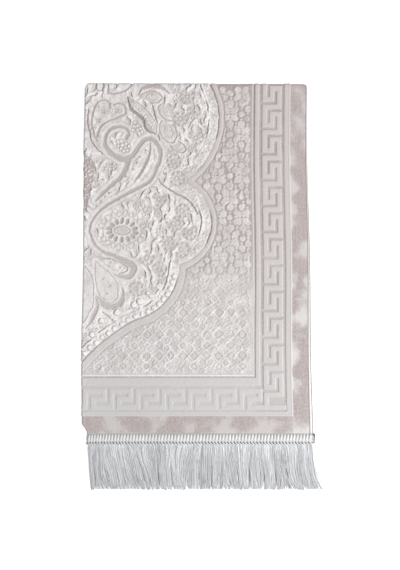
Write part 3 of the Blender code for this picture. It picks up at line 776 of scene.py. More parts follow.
# %% Paisleys of the lower part, and the narrow leaf beside the crease
hook_inner = curve((
    (28, 274.5, 0.5), (47, 278, 0.6), (66, 286, 0.6), (70.5, 293.5, 0.6), (56, 299, 0.5),
))
drop = curve((
    (20, 281, 1.0), (27, 294, 7.0), (34, 308, 13.0), (39, 321, 15.5), (44, 333, 11.5),
))
drop_shade = curve((
    (25, 335, 0.8), (33, 346, 3.4), (46, 351, 4.6), (58, 346, 4.2), (62, 334, 2.6), (61, 321, 0.8),
))
crease_leaf = curve((
    (3, 289, 2.0), (8, 305, 7.0), (9, 325, 9.0), (9, 344, 9.5), (5, 362, 6.0), (2, 374, 1.5),
))
crease_band = curve(((22, 335, 1.2), (24, 350, 3.2), (18, 367, 2.8), (8, 384, 0.8)))
diagonal = curve(((33, 357, 0.6), (42, 365, 0.8), (50, 373, 0.6)))
ridge_line = curve((
    (117, 150, 0.4), (122, 159, 0.9), (133, 167, 1.0), (145, 174, 1.1), (161, 182, 1.1),
    (172, 194, 1.1), (178, 206, 0.9),
))
DROP_DOTS = ((32.2, 307), (41.3, 318.5), (38, 330), (42.8, 282.6), (57.6, 289.7))
EGGS = ((81, 347, 4.6), (90.5, 342.5, 4.8), (107, 333.5, 4.2), (33, 372, 4.4))
EGGS += ((56, 358.5, 4.2), (17.5, 392.5, 4.0), (101, 329, 2.6))
print("curves ready")

# %% Keep the small filling away from the large motifs
LARGE_MARGIN = 6.5 * MM
busy = np.zeros(relief.shape, bool)


def widened(path, margin):
    return path + np.array((0.0, 0.0, margin))


def keep_clear(path, margin):
    """Marks the places near a motif, so that no small filling lands there."""
    wide = widened(path, margin)
    part = window(wide, wide[:, 2].max())
    busy[part] |= gap_outside(wide, grid_u[part], grid_t[part]) < 0


large = [scroll, long_leaf, paisley_top, paisley_hook, half_leaf, arch, side_line]
large += [leaf_core, hook_inner, drop, drop_shade, crease_leaf, crease_band, diagonal]
large += [paisley_outer, ridge_line]
for path in large:
    keep_clear(path, LARGE_MARGIN)
print("share of the chart kept for large motifs:", round(float(busy.mean()), 3))

# %% [markdown]
# ## Rosettes and small filling
# Round flowers stand on discs of carved ground. What is still free inside the medallion
# gets small motifs from a seeded generator: a ragged edge where the pile steps up, a full
# leaf with a hollow down its middle, or a ring of tufts. A place is free if no motif lies
# near it yet. That is how such a field is filled by hand too: the large motifs first,
# then whatever fits between them.

# %% Rosettes
ROSETTES = ((174.8, 85), (141.2, 122.7), (118, 183), (154, 201.5), (129.3, 250.7))
ROSETTES += ((98.2, 273.8), (83, 322.8), (146, 150.6), (151, 55), (165, 235))
ROSETTES += ((140, 222), (152, 262), (118, 292), (160, 20))


def rosette(u, t, size):
    stamp(dot(u, t, 12.0 * size), 0.08, flank=4.5 * MM)
    for pu, pt, angle in ring_of(8, u, t, 7.4 * size, start=chance.uniform(0, 45)):
        stamp(leaf(pu, pt, 7.0 * size, 5.2 * size, angle), 0.72, flank=2.2 * MM)
    stamp(dot(u, t, 2.4 * size), 0.85, flank=1.8 * MM)
    keep_clear(dot(u, t, 11.0 * size), 1.5 * MM)


# %% The oval flower, and chain leaves
OVAL = (60.5, 232)
CHAIN = ((148, 100, 28, 16, 30), (132, 75, 38, 26, 66), (130.5, 45, 33, 22, 42))
CHAIN += ((104, 21.5, 34, 20, 0),)


def oval_flower():
    for pu, pt, angle in ring_of(22, *OVAL, 33.0, 26.0):
        stamp(leaf(pu, pt, 7.5, 7.0, angle), 0.40, line=0.7 * MM, flank=1.6 * MM)
    for pu, pt, angle in ring_of(14, *OVAL, 20.5, 15.0, start=13.0):
        stamp(leaf(pu, pt, 8.2, 6.0, angle), 0.05, flank=1.8 * MM)
    stamp(leaf(*OVAL, 27.0, 13.0, 0.0), 0.15, line=0.8 * MM, flank=1.6 * MM)
    stamp(leaf(*OVAL, 22.0, 9.0, 0.0), 0.78, flank=2.4 * MM)
    keep_clear(dot(*OVAL, 34.0), 0.0)


def chain_leaf(u, t, length, width, angle):
    whole = leaf(u, t, length, width, angle)
    stamp(leaf(u, t, length + 6, width + 6, angle), 1.12, flank=2.4 * MM)
    stamp(whole, 0.82, flank=1.8 * MM)
    stamp(whole, 0.15, line=0.9 * MM, flank=1.6 * MM)
    stamp(leaf(u, t, length * 0.55, width * 0.5, angle), 0.45, line=0.6 * MM, flank=1.6 * MM)
    keep_clear(whole, 2.0 * MM)


oval_flower()
for place in CHAIN:
    chain_leaf(*place)
for u, t in ROSETTES:
    rosette(u, t, 1.0 if u > 80 else 0.8)
print(len(ROSETTES), "rosettes and", len(CHAIN), "chain leaves drawn")

# %% Small filling between them
FILL_TRIES = 7000
FILL_APART = 7.6
FILL_REACH = 3.8
FREE_SHARE = 0.86
TURNS_ROUND = (40, 130)
free = in_medallion & in_field & ~busy & (to_edge < -RIDGE_AT - 1.5 * MM)


def is_free(u, t):
    part = free[window(dot(u, t, 0.0), FILL_REACH * MM)]
    return part.size > 0 and part.mean() > FREE_SHARE


def step_up(u, t, angle):
    """A ragged edge where the pile steps up: a dark flank, then a full soft cushion."""
    turn = np.radians(90 + chance.uniform(-38, 38))
    step = np.array((np.cos(turn), np.sin(turn))) * chance.uniform(3.2, 5.6)
    aside = np.array((-step[1], step[0])) * 0.45
    stations = (-1.5, -0.5, 0.5, 1.5)
    places = [np.array((u, t)) + k * step + aside * chance.uniform(-1, 1) for k in stations]
    widths = (0.2, chance.uniform(0.5, 1.0), chance.uniform(0.5, 1.0), 0.2)
    path = curve([(*place, width) for place, width in zip(places, widths)], steps=3)
    stamp(path + np.array((-2.2, 0.0, 1.2)) * MM, 0.66, flank=3.4 * MM)
    stamp(path + np.array((3.4, 0.6, 2.4)) * MM, 1.18, flank=3.6 * MM)
    # The cut along the step goes below 0 now and then, and there the velvet paints shade; the
    # cushion stands high enough for a painted highlight.
    stamp(path, chance.uniform(-0.28, 0.15), flank=1.1 * MM)


def small_leaf(u, t, angle):
    """A full leaf with a hollow down its middle and a shadow line at its left."""
    length, width = chance.uniform(10, 15), chance.uniform(6.0, 8.0)
    shape = leaf(u, t, length, width, angle)
    stamp(shape - np.array((0.8, 0.0, 0.0)) * MM, 0.2, flank=1.4 * MM)
    stamp(shape, 1.1, flank=2.4 * MM)
    stamp(leaf(u, t, length * 0.55, width * 0.4, angle), 0.5, flank=1.8 * MM)


def puffs(u, t, angle):
    """A few full tufts close together, with the ground between them."""
    stamp(dot(u, t, chance.uniform(5.4, 7.0)), 0.08, flank=3.4 * MM)
    for pu, pt, _ in ring_of(chance.integers(5, 8), u, t, 4.0, start=angle):
        stamp(dot(pu, pt, chance.uniform(1.3, 2.0)), 1.0, flank=1.9 * MM)
    stamp(dot(u, t, 1.6), 1.0, flank=1.6 * MM)


taken = []
for _ in range(FILL_TRIES):
    u, t = chance.uniform(4, 195), chance.uniform(0, 400)
    from_centre = np.degrees(np.arctan2(t - TURNS_ROUND[1], u - TURNS_ROUND[0]))
    angle = from_centre + chance.uniform(-60, 60) + 90
    draw = (step_up, small_leaf, puffs)[chance.choice((0, 0, 0, 0, 1, 1, 2))]
    if is_free(u, t) and all((u - a) ** 2 + (t - b) ** 2 >= FILL_APART ** 2 for a, b in taken):
        taken.append((u, t))
        draw(u, t, angle)
print(len(taken), "small motifs fill the gaps")

# %% Carve the large motifs last, so that their lines stay whole
GROOVE = 0.20
PAISLEY_GROOVE = 0.24
DEEP = -0.18
GROOVES_WIDER = 0.55 * MM
RIM_REACH = 5.6 * MM


def clear_round(paths, margin, level):
    """Sets the pile's height on some motifs and on a margin round each."""
    for path in paths:
        stamp(widened(path, margin), level, flank=2.0 * MM)


def stamp_all(paths, level, flank=SOFT_FLANK):
    for path in paths:
        stamp(path, level, flank=flank)


def dots(places, radius):
    return [dot(u, t, radius) for u, t in places]


stamp_all((paisley_body, paisley_ear), 0.86, 4.0 * MM)
clear_round((paisley_top, paisley_hook), 3.0 * MM, 0.98)
rims = (scroll, long_leaf, drop, crease_leaf)
clear_round(rims, 6.8 * MM, 0.72)
clear_round(rims, RIM_REACH, 1.0)
near_rims = np.zeros(relief.shape)
for path in rims:
    wide = widened(path, RIM_REACH)
    part = window(wide, wide[:, 2].max() + 2 * MM)
    gap = gap_outside(wide, grid_u[part], grid_t[part])
    near_rims[part] = np.maximum(near_rims[part], inside(gap, 2 * MM))
stamp_all(dots(SCROLL_BEADS, 3.6), 0.25, 1.8 * MM)
stamp_all(dots(SCROLL_BEADS, 2.3), 1.2, 2.2 * MM)
clear_round((scroll, long_leaf), GROOVES_WIDER, GROOVE)
clear_round((paisley_top, paisley_hook), 0.5 * MM, PAISLEY_GROOVE)
stamp_all((half_leaf, arch, crease_band), GROOVE)
stamp_all((side_line, diagonal, paisley_outer, hook_inner, ridge_line), DEEP, 0.9 * MM)
print("lines carved")

# %% The bodies of the leaf and the drops, and the dots on them
stamp(leaf_core, 0.2)
stamp(leaf_light, 1.3, flank=3.0 * MM)
stamp_all(dots(LEAF_DOTS, 1.5), 0.1)
for path in (drop, crease_leaf):
    clear_round([path], 2.5 * MM, 1.05)
    stamp(path, 0.93, flank=2.0 * MM)
    stamp(path, 0.1, line=0.4 * MM, flank=0.9 * MM)
stamp(drop_shade, 0.12, flank=2.4 * MM)
for u, t, radius in EGGS:
    stamp(dot(u, t, radius + 3.0), 1.1, flank=2.4 * MM)
    # A cut at the left of each egg goes below 0, so the velvet paints it as a crescent of shade
    # beside the dome.
    stamp(dot(u - 1.0, t, radius + 0.9), -0.25, flank=1.4 * MM)
    stamp(dot(u, t, radius), 1.45, flank=3.4 * MM)
stamp_all(dots(DROP_DOTS, 1.9), 0.4, 2.0 * MM)
for u, t in ((29, 43.8), (51.8, 42.2), (22, 59)):
    clover = [(pu, pt) for pu, pt, _ in ring_of(4, u, t, 2.6, start=45.0)]
    stamp_all(dots(clover, 1.4), 0.15, 1.2 * MM)
print("large motifs carved")

# %% The slender leaf, and the round and stem at the corner of the folds
slender = curve((
    (68, 22, 0.6), (78, 32, 5.0), (90, 45, 7.4), (102, 58, 7.6), (109, 70, 5.0), (113, 80, 0.8),
))
slender_shade = curve((
    (68, 22, 0.6), (72, 37, 1.7), (82, 47, 2.1), (92, 57, 2.2), (97, 70, 1.8), (104, 76, 1.3),
    (112, 79, 0.6),
))
SLENDER_DOTS = 10

clear_round([slender], 3.0 * MM, 1.12)
stamp(slender, 0.86, flank=2.4 * MM)
stamp(slender, 0.3, line=0.6 * MM)
stamp(slender_shade, -0.5)
for share in np.linspace(0.0, 1.0, SLENDER_DOTS):
    stamp(dot(79.2 + 27 * share, 33 + 36 * share, 2.0), 0.35, flank=1.4 * MM)
    stamp(dot(80.4 + 27 * share, 33 + 36 * share, 1.5), 1.3, flank=1.5 * MM)
stamp(curve(((28, 6, 0.6), (28.5, 14, 0.7), (28, 22, 0.6))), 0.0)
stamp(dot(24, 6, 5.5), 0.0, line=0.7 * MM)
print("the slender leaf has", SLENDER_DOTS, "dots")

# %% A speckled strip of carved ground beside the crease
SPECKLES = 60

speckled = curve(((2, 118, 4), (9, 130, 8), (8, 150, 8), (6, 175, 5), (4, 195, 3)))
stamp(speckled, 0.1, flank=3.0 * MM)
for _ in range(SPECKLES):
    u, t = chance.uniform(1, 16), chance.uniform(116, 196)
    if gap_outside(speckled, u * MM, t * MM) < -1.5 * MM:
        stamp(dot(u, t, chance.uniform(0.9, 1.5)), 0.9, flank=1.2 * MM)
print("speckled strip drawn")

# %% The medallion's pile stands fuller towards the rug's end
FULLER = 0.08
FULLER_AT_END = 0.14

# The velvet's colour follows this chart, so the lower medallion also turns lighter here, with less
# painted shade in its hollows.
raise_to(1.0, (FULLER + FULLER_AT_END * low_part) * in_medallion * in_field)
print("heights run from", round(float(relief.min()), 2), "to", round(float(relief.max()), 2))

# %% [markdown]
# ## What the press and the brush leave
# On the real rug no line is ruled: the pattern was pressed and carved into a springy
# pile, so it wavers, and its full parts stand up in small cushions. First every place of
# the field reads the chart from a place a millimetre or so away, by a soft random
# amount. Then the field gets cushions of three sizes, where the pile stands high.


# %% Soft noise
def soft_noise(u, v, size, seed):
    """Seeded heights from -1 to 1 that change smoothly over a distance of size."""
    rng = np.random.default_rng(seed)
    low = min(float(u.min()), float(v.min())) - size
    a, b = (u - low) / size, (v - low) / size
    net = rng.uniform(-1, 1, (int(b.max()) + 3, int(a.max()) + 3))
    ia, ib = a.astype(int), b.astype(int)
    fa, fb = smooth(a - ia), smooth(b - ib)
    near = net[ib, ia] * (1 - fa) + net[ib, ia + 1] * fa
    far = net[ib + 1, ia] * (1 - fa) + net[ib + 1, ia + 1] * fa
    return near * (1 - fb) + far * fb


def sampled(chart, u, t):
    """The chart's value at any place, blended from its four neighbours."""
    a = np.clip(np.abs(u) / CHART_PITCH, 0, len(chart_u) - 1.001)
    b = np.clip(np.abs(t) / CHART_PITCH, 0, len(chart_t) - 1.001)
    ia, ib = a.astype(int), b.astype(int)
    fa, fb = a - ia, b - ib
    near = chart[ib, ia] * (1 - fa) + chart[ib, ia + 1] * fa
    far = chart[ib + 1, ia] * (1 - fa) + chart[ib + 1, ia + 1] * fa
    return near * (1 - fb) + far * fb


# %% Waver and cushions
# Each is a distance or a share of the pile's carving, and the size of its patches.
WAVERS = ((0.9 * MM, 11 * MM), (0.6 * MM, 4.5 * MM), (0.4 * MM, 2.2 * MM))
CUSHIONS = ((0.16, 9.0 * MM), (0.18, 4.4 * MM), (0.10, 2.3 * MM))
SPECKLE_HEIGHT = 0.08
SPECKLE_SIZE = 1.35 * MM
FADES_OVER = 7 * MM
CALM_OVAL = 24

fade = smooth(-to_field_edge / FADES_OVER)
off_ribbon = smooth((np.abs(to_edge) - ribbon_half) / (2 * MM))
shift_u, shift_t = np.zeros(relief.shape), np.zeros(relief.shape)
for i, (reach, size) in enumerate(WAVERS):
    shift_u += reach * soft_noise(grid_u, grid_t, size, SEED + 30 + i)
    shift_t += reach * soft_noise(grid_u, grid_t, size, SEED + 40 + i)
share = fade * (0.35 + 0.65 * off_ribbon)
relief = sampled(relief, grid_u + shift_u * share, grid_t + shift_t * share)
rough = fade * (0.25 + 0.75 * off_ribbon) * (1 - 0.6 * near_rims)
oval_gap = np.hypot(grid_u / MM - OVAL[0], (grid_t / MM - OVAL[1]) * 1.25)
rough = rough * (0.35 + 0.65 * smooth((oval_gap - CALM_OVAL) / 8))
full = smooth((relief - 0.15) / 0.5) * rough
relief += SPECKLE_HEIGHT * rough * soft_noise(grid_u, grid_t, SPECKLE_SIZE, SEED + 49)
for i, (height, size) in enumerate(CUSHIONS):
    relief += height * full * soft_noise(grid_u, grid_t, size, SEED + 50 + i)
print("the press and the brush raise or sink", round(float((rough > 0.1).mean()), 2), "of it")

# %% Height of the pile anywhere on the rug
GROUND_HEIGHT = 1.65 * MM
RIDGE_HEIGHT = 3.05 * MM
PATCH_SIZE = 5.0 * MM
PATCH_HEIGHT = 0.07 * MM
GRAIN_SIZE = 1.8 * MM
GRAIN_HEIGHT = 0.06 * MM
PILE_ENDS = RUG_LENGTH / 2 - HEADING_LAP
SINKS_OVER = 1.5 * MM


def pile_height(u, v):
    carved = sampled(relief, u, v)
    height = GROUND_HEIGHT + (RIDGE_HEIGHT - GROUND_HEIGHT) * carved
    height = height + PATCH_HEIGHT * soft_noise(u, v, PATCH_SIZE, SEED)
    height = height + GRAIN_HEIGHT * soft_noise(u, v, GRAIN_SIZE, SEED + 1)
    bare = smooth((np.abs(v) - PILE_ENDS + SINKS_OVER) / SINKS_OVER)
    return height + (BARE_END - height) * bare, carved


# %% [markdown]
# ## From the chart to meshes
# The visible pile is one net of points. Its rows and columns are closer at the folds,
# where the outside of the cloth is stretched. The net is worked out once, with its
# normals, and then cut into tiles, because one mesh of that size is slow to handle. The
# tiles share the points along each cut and the normals too, so no seam shows. At the
# net's own border a last row drops into the cloth below, so that no edge hangs open.


# %% A quick way to make a mesh
def build_mesh(name, points, faces):
    """Makes an object from an array of points and an array of faces of one size."""
    mesh = bpy.data.meshes.new(name)
    size = faces.shape[1]
    mesh.vertices.add(len(points))
    mesh.vertices.foreach_set("co", np.asarray(points, np.float32).ravel())
    mesh.loops.add(faces.size)
    mesh.loops.foreach_set("vertex_index", faces.astype(np.int32).ravel())
    mesh.polygons.add(len(faces))
    mesh.polygons.foreach_set("loop_start", np.arange(0, faces.size, size, dtype=np.int32))
    mesh.update(calc_edges=True)
    mesh.validate()
    mesh.shade_smooth()
    item = bpy.data.objects.new(name, mesh)
    bpy.context.scene.collection.objects.link(item)
    return item


def net_faces(rows, columns, closed=False):
    """Faces of a net of rows by columns; closed joins its last column to its first."""
    index = np.arange(rows * columns).reshape(rows, columns)
    if closed:
        index = np.hstack([index, index[:, :1]])
    corners = (index[:-1, :-1], index[:-1, 1:], index[1:, 1:], index[1:, :-1])
    return np.stack([c.ravel() for c in corners], axis=1)


def triangles(item):
    return 2 * len(item.data.polygons)


# %% What a mesh carries for its finish
def add_layer(mesh, name, values):
    """Stores a number or a place at each point, for the material to read."""
    kind = "FLOAT" if values.ndim == 1 else "FLOAT_VECTOR"
    layer = mesh.attributes.new(name, kind, "POINT")
    key_name = "value" if kind == "FLOAT" else "vector"
    layer.data.foreach_set(key_name, np.asarray(values, np.float32).ravel())


def add_velvet_layers(mesh, flat, raised, rough):
    add_layer(mesh, "raised", raised)
    add_layer(mesh, "rough", rough)
    add_layer(mesh, "flat", np.column_stack([flat, np.zeros(len(flat))]))


def add_flat_uv(mesh, flat):
    """Lays the mesh out for baking as it lies on the flat rug."""
    low, high = flat.min(axis=0), flat.max(axis=0)
    even = (flat - low) / np.maximum(high - low, 1e-9)
    corners = np.empty(len(mesh.loops), np.int32)
    mesh.loops.foreach_get("vertex_index", corners)
    layer = mesh.uv_layers.new(name="OFBake")
    layer.data.foreach_set("uv", even[corners].astype(np.float32).ravel())


# %% Rows and columns of the net
NET_PITCH = 0.88 * MM
FOLD_PITCH = 0.45 * MM
SIDE_FOLD = 5 * MM
CROSS_FOLD = 8 * MM
WRAPS_UNDER = 6.5 * MM
WRAPS_OVER = 10.0 * MM
SKIRT_HEIGHT = 0.5 * MM


def spaced(low, high, arc, pitch, fold_pitch):
    """Distances from a fold at (0, 0), closer together on its arc."""
    parts = []
    for a, b, step in ((low, -arc, pitch), (-arc, arc, fold_pitch), (arc, high, pitch)):
        a, b = max(a, low), min(b, high)
        parts.append(np.linspace(a, b, max(2, int(round((b - a) / step)) + 1))[:-1])
    return np.append(np.concatenate(parts), high)


def net_places(across, along):
    """Flat u and v of a net, whose columns run between the crease and the cut edge."""
    v = np.repeat((along + CROSS_SHIFT)[:, None], len(across), axis=1)
    stretch = (CLOTH_HALF_WIDTH - crease(v)) / CLOTH_HALF_WIDTH
    s = across[None, :]
    u = crease(v) + np.where(s > 0, s * stretch, s)
    return u, v


def net_with_skirt(across, along, highest):
    """Places, layers, points and normals of a net, with its border turned down."""
    u, v = net_places(across, along)
    h, carved = pile_height(u, v)
    on_floor = smooth((v - CROSS_SHIFT) / CROSS_ARC)
    h = np.minimum(h, highest + (PILE_TOP - highest) * on_floor)
    parts = (u, v, h, carved, sampled(rough, u, v))
    u, v, h, carved, roughness = (np.pad(part, 1, mode="edge") for part in parts)
    h[0], h[-1], h[:, 0], h[:, -1] = (SKIRT_HEIGHT,) * 4
    points = placed(u, v, h)
    normals = np.cross(np.gradient(points, axis=1), np.gradient(points, axis=0))
    normals /= np.linalg.norm(normals, axis=-1, keepdims=True) + 1e-12
    return u, v, carved, roughness, points, normals


# %% The net of the pile that shows from above
side_columns = spaced(-WRAPS_UNDER, CLOTH_HALF_WIDTH, SIDE_FOLD, NET_PITCH, FOLD_PITCH)
end_rows = spaced(-(PILE_ENDS + CROSS_SHIFT), WRAPS_OVER, CROSS_FOLD, NET_PITCH, FOLD_PITCH)[::-1]
upper_net = net_with_skirt(side_columns, end_rows, 2 * PILE_TOP)
print("the net has %d rows and %d columns" % upper_net[0].shape)


def tile(name, net, rows, columns):
    """One mesh cut from a net."""
    u, v, carved, roughness, points, normals = (part[rows, columns] for part in net)
    item = build_mesh(name, points.reshape(-1, 3), net_faces(*u.shape))
    flat = np.stack([u.ravel(), v.ravel()], axis=1)
    add_velvet_layers(item.data, flat, carved.ravel(), roughness.ravel())
    add_flat_uv(item.data, flat)
    item.data.normals_split_custom_set_from_vertices(normals.reshape(-1, 3).tolist())
    print(name, "has", triangles(item), "triangles")
    return item


# %% Cut it into tiles along the frame's inner band and across the field
BAND_MIDDLE = RUG_WIDTH / 2 - sum(SIDE_INNER_BAND) / 2
END_BAND_MIDDLE = RUG_LENGTH / 2 - sum(END_INNER_BAND) / 2
FIELD_SPLIT = 0.230

side_cut = int(np.searchsorted(side_columns, BAND_MIDDLE)) + 1
far_cut = int(np.searchsorted(-end_rows, FIELD_SPLIT)) + 1
near_cut = int(np.searchsorted(-end_rows, END_BAND_MIDDLE)) + 1
field_columns = slice(0, side_cut + 1)
pile_tiles = [
    tile("pile_field_far", upper_net, slice(0, far_cut + 1), field_columns),
    tile("pile_field_near", upper_net, slice(far_cut, near_cut + 1), field_columns),
    tile("pile_side_border", upper_net, slice(None), slice(side_cut, None)),
    tile("pile_end_border", upper_net, slice(near_cut, None), field_columns),
]

# %% The pile underneath, on the layer that lies on the floor
UNDERSIDE_PITCH = 3.3 * MM
UNDERSIDE_FOLD_PITCH = 1 * MM
UNDERSIDE_STARTS = 8.5 * MM
UNDERSIDE_ROWS = 206

under_columns = spaced(
    -WRAPS_UNDER, CLOTH_HALF_WIDTH, SIDE_FOLD, UNDERSIDE_PITCH, UNDERSIDE_FOLD_PITCH)
under_rows = np.linspace(UNDERSIDE_STARTS, PILE_ENDS - CROSS_SHIFT, UNDERSIDE_ROWS)[::-1]
lower_net = net_with_skirt(under_columns, under_rows, PILE_TOP)
pile_tiles.append(tile("pile_underside", lower_net, slice(None), slice(None)))

# %% [markdown]
# ## The cloth below the pile
# The whole rug is one cloth, and most of it lies hidden inside the stack. It is made as
# one thin closed sheet that follows both folds: an upper net and a lower net, sewn
# together along the rim. On the hidden layers it is as thick as the pile. Under the
# carved tiles it is thinner, so that they lie on it.

# %% Rows and columns of the sheet, and how thick it is
SHEET_PITCH = 10 * MM
SHEET_FOLD_PITCH = 0.9 * MM
SHEET_SIDE_FOLD = 7 * MM
THIN_SHEET = 1.0 * MM
THICK_FROM = 5.0 * MM
THICK_OVER = 4.0 * MM
THINS_OVER = 2 * MM

sheet_s = spaced(
    -CLOTH_HALF_WIDTH, CLOTH_HALF_WIDTH, SHEET_SIDE_FOLD, SHEET_PITCH, SHEET_FOLD_PITCH)
sheet_q = spaced(
    -RUG_LENGTH / 2 - CROSS_SHIFT, RUG_LENGTH / 2 - CROSS_SHIFT, CROSS_FOLD, SHEET_PITCH,
    SHEET_FOLD_PITCH)
sheet_v = np.repeat((sheet_q + CROSS_SHIFT)[:, None], len(sheet_s), axis=1)
askew = crease(sheet_v)
reach = np.where(sheet_s > 0, CLOTH_HALF_WIDTH - askew, CLOTH_HALF_WIDTH + askew)
sheet_u = askew + sheet_s * reach / CLOTH_HALF_WIDTH
hidden = smooth((-THICK_FROM - (sheet_u - askew)) / THICK_OVER)
sheet_top = THIN_SHEET + (PILE_TOP - THIN_SHEET) * hidden
bare_share = smooth((np.abs(sheet_v) - PILE_ENDS + THINS_OVER) / THINS_OVER)
sheet_top = sheet_top + (BARE_END - sheet_top) * bare_share
print("the sheet has %d rows and %d columns" % sheet_u.shape)

# %% The sheet
SHEET_RAISED = 0.9

upper = placed(sheet_u, sheet_v, sheet_top).reshape(-1, 3)
lower = placed(sheet_u, sheet_v, np.zeros_like(sheet_u)).reshape(-1, 3)
count = len(upper)
index = np.arange(count).reshape(sheet_u.shape)
rim = np.concatenate([index[0, :-1], index[:-1, -1], index[-1, :0:-1], index[:0:-1, 0]])
rim_faces = np.stack([rim, np.roll(rim, -1), np.roll(rim, -1) + count, rim + count], 1)
upper_faces = net_faces(*sheet_u.shape)
sheet_faces = np.vstack([upper_faces[:, ::-1], upper_faces + count, rim_faces])
ground_cloth = build_mesh("ground_cloth", np.vstack([upper, lower]), sheet_faces)
sheet_flat = np.stack([np.tile(sheet_u.ravel(), 2), np.tile(sheet_v.ravel(), 2)], axis=1)
raised = np.full(2 * count, SHEET_RAISED)
add_velvet_layers(ground_cloth.data, sheet_flat, raised, np.zeros(2 * count))
sheet_flat[count:, 0] += 1.1 * RUG_WIDTH
add_flat_uv(ground_cloth.data, sheet_flat)
print("the sheet has", triangles(ground_cloth), "triangles")

# %% [markdown]
# ## Heading: wrapped braid and twisted cord
# Over each cut end lies a braid of fat slanted stitches, and along its outer side a
# twisted cord. A stitch is a short tube that starts in the pile, swells as it rises over
# the edge, and dives in again. A twisted cord shows the same thing: each turn of its
# plies rises and dives, only steeper and the other way round. So one function makes
# both. They are drawn on the flat rug and turn the crease with the cloth.


# %% Tubes drawn on the flat rug
def round_section(sides, start=0.0):
    """Across and up of the corners of a round section with a few sides."""
    angles = 2 * np.pi * np.arange(sides) / sides + start
    return np.cos(angles), np.sin(angles)


def tubes(name, points, tints):
    """One object of many tubes; points are tubes by stations by sides by three."""
    count, stations, sides, _ = points.shape
    one = net_faces(stations, sides, closed=True)
    starts = (np.arange(count) * stations * sides)[:, None, None]
    item = build_mesh(name, points.reshape(-1, 3), (one[None] + starts).reshape(-1, 4))
    add_layer(item.data, "tint", np.broadcast_to(tints, points.shape[:3]).ravel())
    tube, station, side = np.indices(points.shape[:3])
    add_flat_uv(item.data, np.stack([tube + 0.9 * side / sides, station], -1).reshape(-1, 2))
    return item


# %% A row of slanted stitches
STITCH_PITCH = 4.87 * MM
STITCH_UNEVEN = 0.15
STITCH_STATIONS = 8
STITCH_SIDES = 8
HEADING_HALF_LENGTH = RUG_WIDTH / 2 + 2.0 * MM
HEADING_TOP = 2.98 * MM
SWELL_FROM = 0.04
SWELL_SPAN = 0.92
SWELL_POWER = 0.55


def stitches(name, end, span, slant, size, rises, tints):
    """Swelling tubes side by side across one end, as one object."""
    count = int(2 * HEADING_HALF_LENGTH / STITCH_PITCH)
    rng = np.random.default_rng(SEED + 10 + end)
    start = (np.arange(count) - (count - 1) / 2) * STITCH_PITCH
    start = start + rng.uniform(-STITCH_UNEVEN, STITCH_UNEVEN, count) * MM
    along = np.linspace(0.0, 1.0, STITCH_STATIONS)[:, None]
    u = start[:, None, None] + slant * (along - 0.5)
    u = np.clip(u, -HEADING_HALF_LENGTH, HEADING_HALF_LENGTH)
    v = end * (PILE_ENDS + span[0] + (span[1] - span[0]) * along)
    swell = np.sin(np.pi * np.clip(SWELL_FROM + SWELL_SPAN * along, 0, 1)) ** SWELL_POWER
    across, up = round_section(STITCH_SIDES)
    h = rises[0] + (rises[1] - rises[0]) * swell + size[1] * swell * up
    u, v, h = np.broadcast_arrays(u + size[0] * swell * across, v, h)
    tint = rng.uniform(*tints, count)[:, None, None]
    return tubes(name, placed(u, v, np.clip(h, 0.0, HEADING_TOP)), tint)


# %% The braid and the twisted cord
# Each has a span across the heading, a slant, a half size across and up, and two heights.
BRAID = ((1.2 * MM, 11.6 * MM), -2.2 * MM, (2.36 * MM, 0.80 * MM), (1.2 * MM, 1.75 * MM))
BRAID_TINTS = (0.5, 1.0)
CORD = ((11.2 * MM, 17.2 * MM), 4.6 * MM, (1.85 * MM, 1.15 * MM), (1.45 * MM, 1.83 * MM))
# The cord's tints run darker than the braid's: painted shade along the cord's row. Their spread
# from turn to turn is the yarn's own.
CORD_SHADED_TINTS = (-0.1, 0.6)

# %% The tape under both, which closes the gaps between stitches
TAPE_OUT = (0.0003, 0.0010, 0.0062, 0.0086, 0.0124, 0.0132, 0.0155, 0.0155, 0.0083, 0.0083)
TAPE_UP = (0.0011, 0.0014, 0.0014, 0.0018, 0.0018, 0.0009, 0.0009, 0.0004, 0.0004, 0.0011)
# The tape's tints are painted shade: dark under the top of the braid, where it shows between the
# stitches, and dark at its outer edge below the cord; lighter between.
TAPE_PAINTED_SHADE = (-0.6, -0.6, -0.6, 0.7, 0.6, -1.0, -1.0, -1.0, 0.0, 0.0)
TAPE_STATIONS = 260


def tape(name, end):
    u = np.linspace(-HEADING_HALF_LENGTH, HEADING_HALF_LENGTH, TAPE_STATIONS)[:, None]
    v = end * (PILE_ENDS + np.array(TAPE_OUT))
    points = placed(*np.broadcast_arrays(u, v, TAPE_UP))
    return tubes(name, points[None], TAPE_PAINTED_SHADE)


headings = {}
for word, end in (("front", -1), ("back", 1)):
    headings[word] = [
        stitches("braid_" + word, end, *BRAID, BRAID_TINTS),
        stitches("cord_" + word, end, *CORD, CORD_SHADED_TINTS),
        tape("tape_" + word, end),
    ]
    print("heading", word, "has", sum(triangles(item) for item in headings[word]), "triangles")

# %% [markdown]
# ## Fringe
# The fringe is thousands of fine silky strands. Each is a thin tapered tube with three
# sides, which is enough for something half a millimetre thick. A strand starts under the
# cord, droops to rest on the floor, and leans a little to one side. Strands draw
# together in locks, and a few stray across their neighbours.

# %% Sizes of the fringe
STRIP_WIDTH = 0.0022
STRIP_LOW = 0.0007
LOCKS_PER_LAYER = 36
LOCK_PITCH = 0.0096
FIRST_LOCK_FROM_CREASE = 0.0032
LOCK_LENGTH = 0.064
LOCK_LEAN = 0.0050
LEAN_VARIES = 0.30
LEAN_REACH = 0.040
DROOP_LENGTH = 0.026
DROOP_FLATTENS_TO = 0.46
FLOOR_CLEARANCE = 0.00005
FLARE = 0.0115
FLARE_FROM = 0.25
FLARE_REACH = 0.10
FRINGE_ROOT = PILE_ENDS + HEADING_WIDTH + CLEARANCE


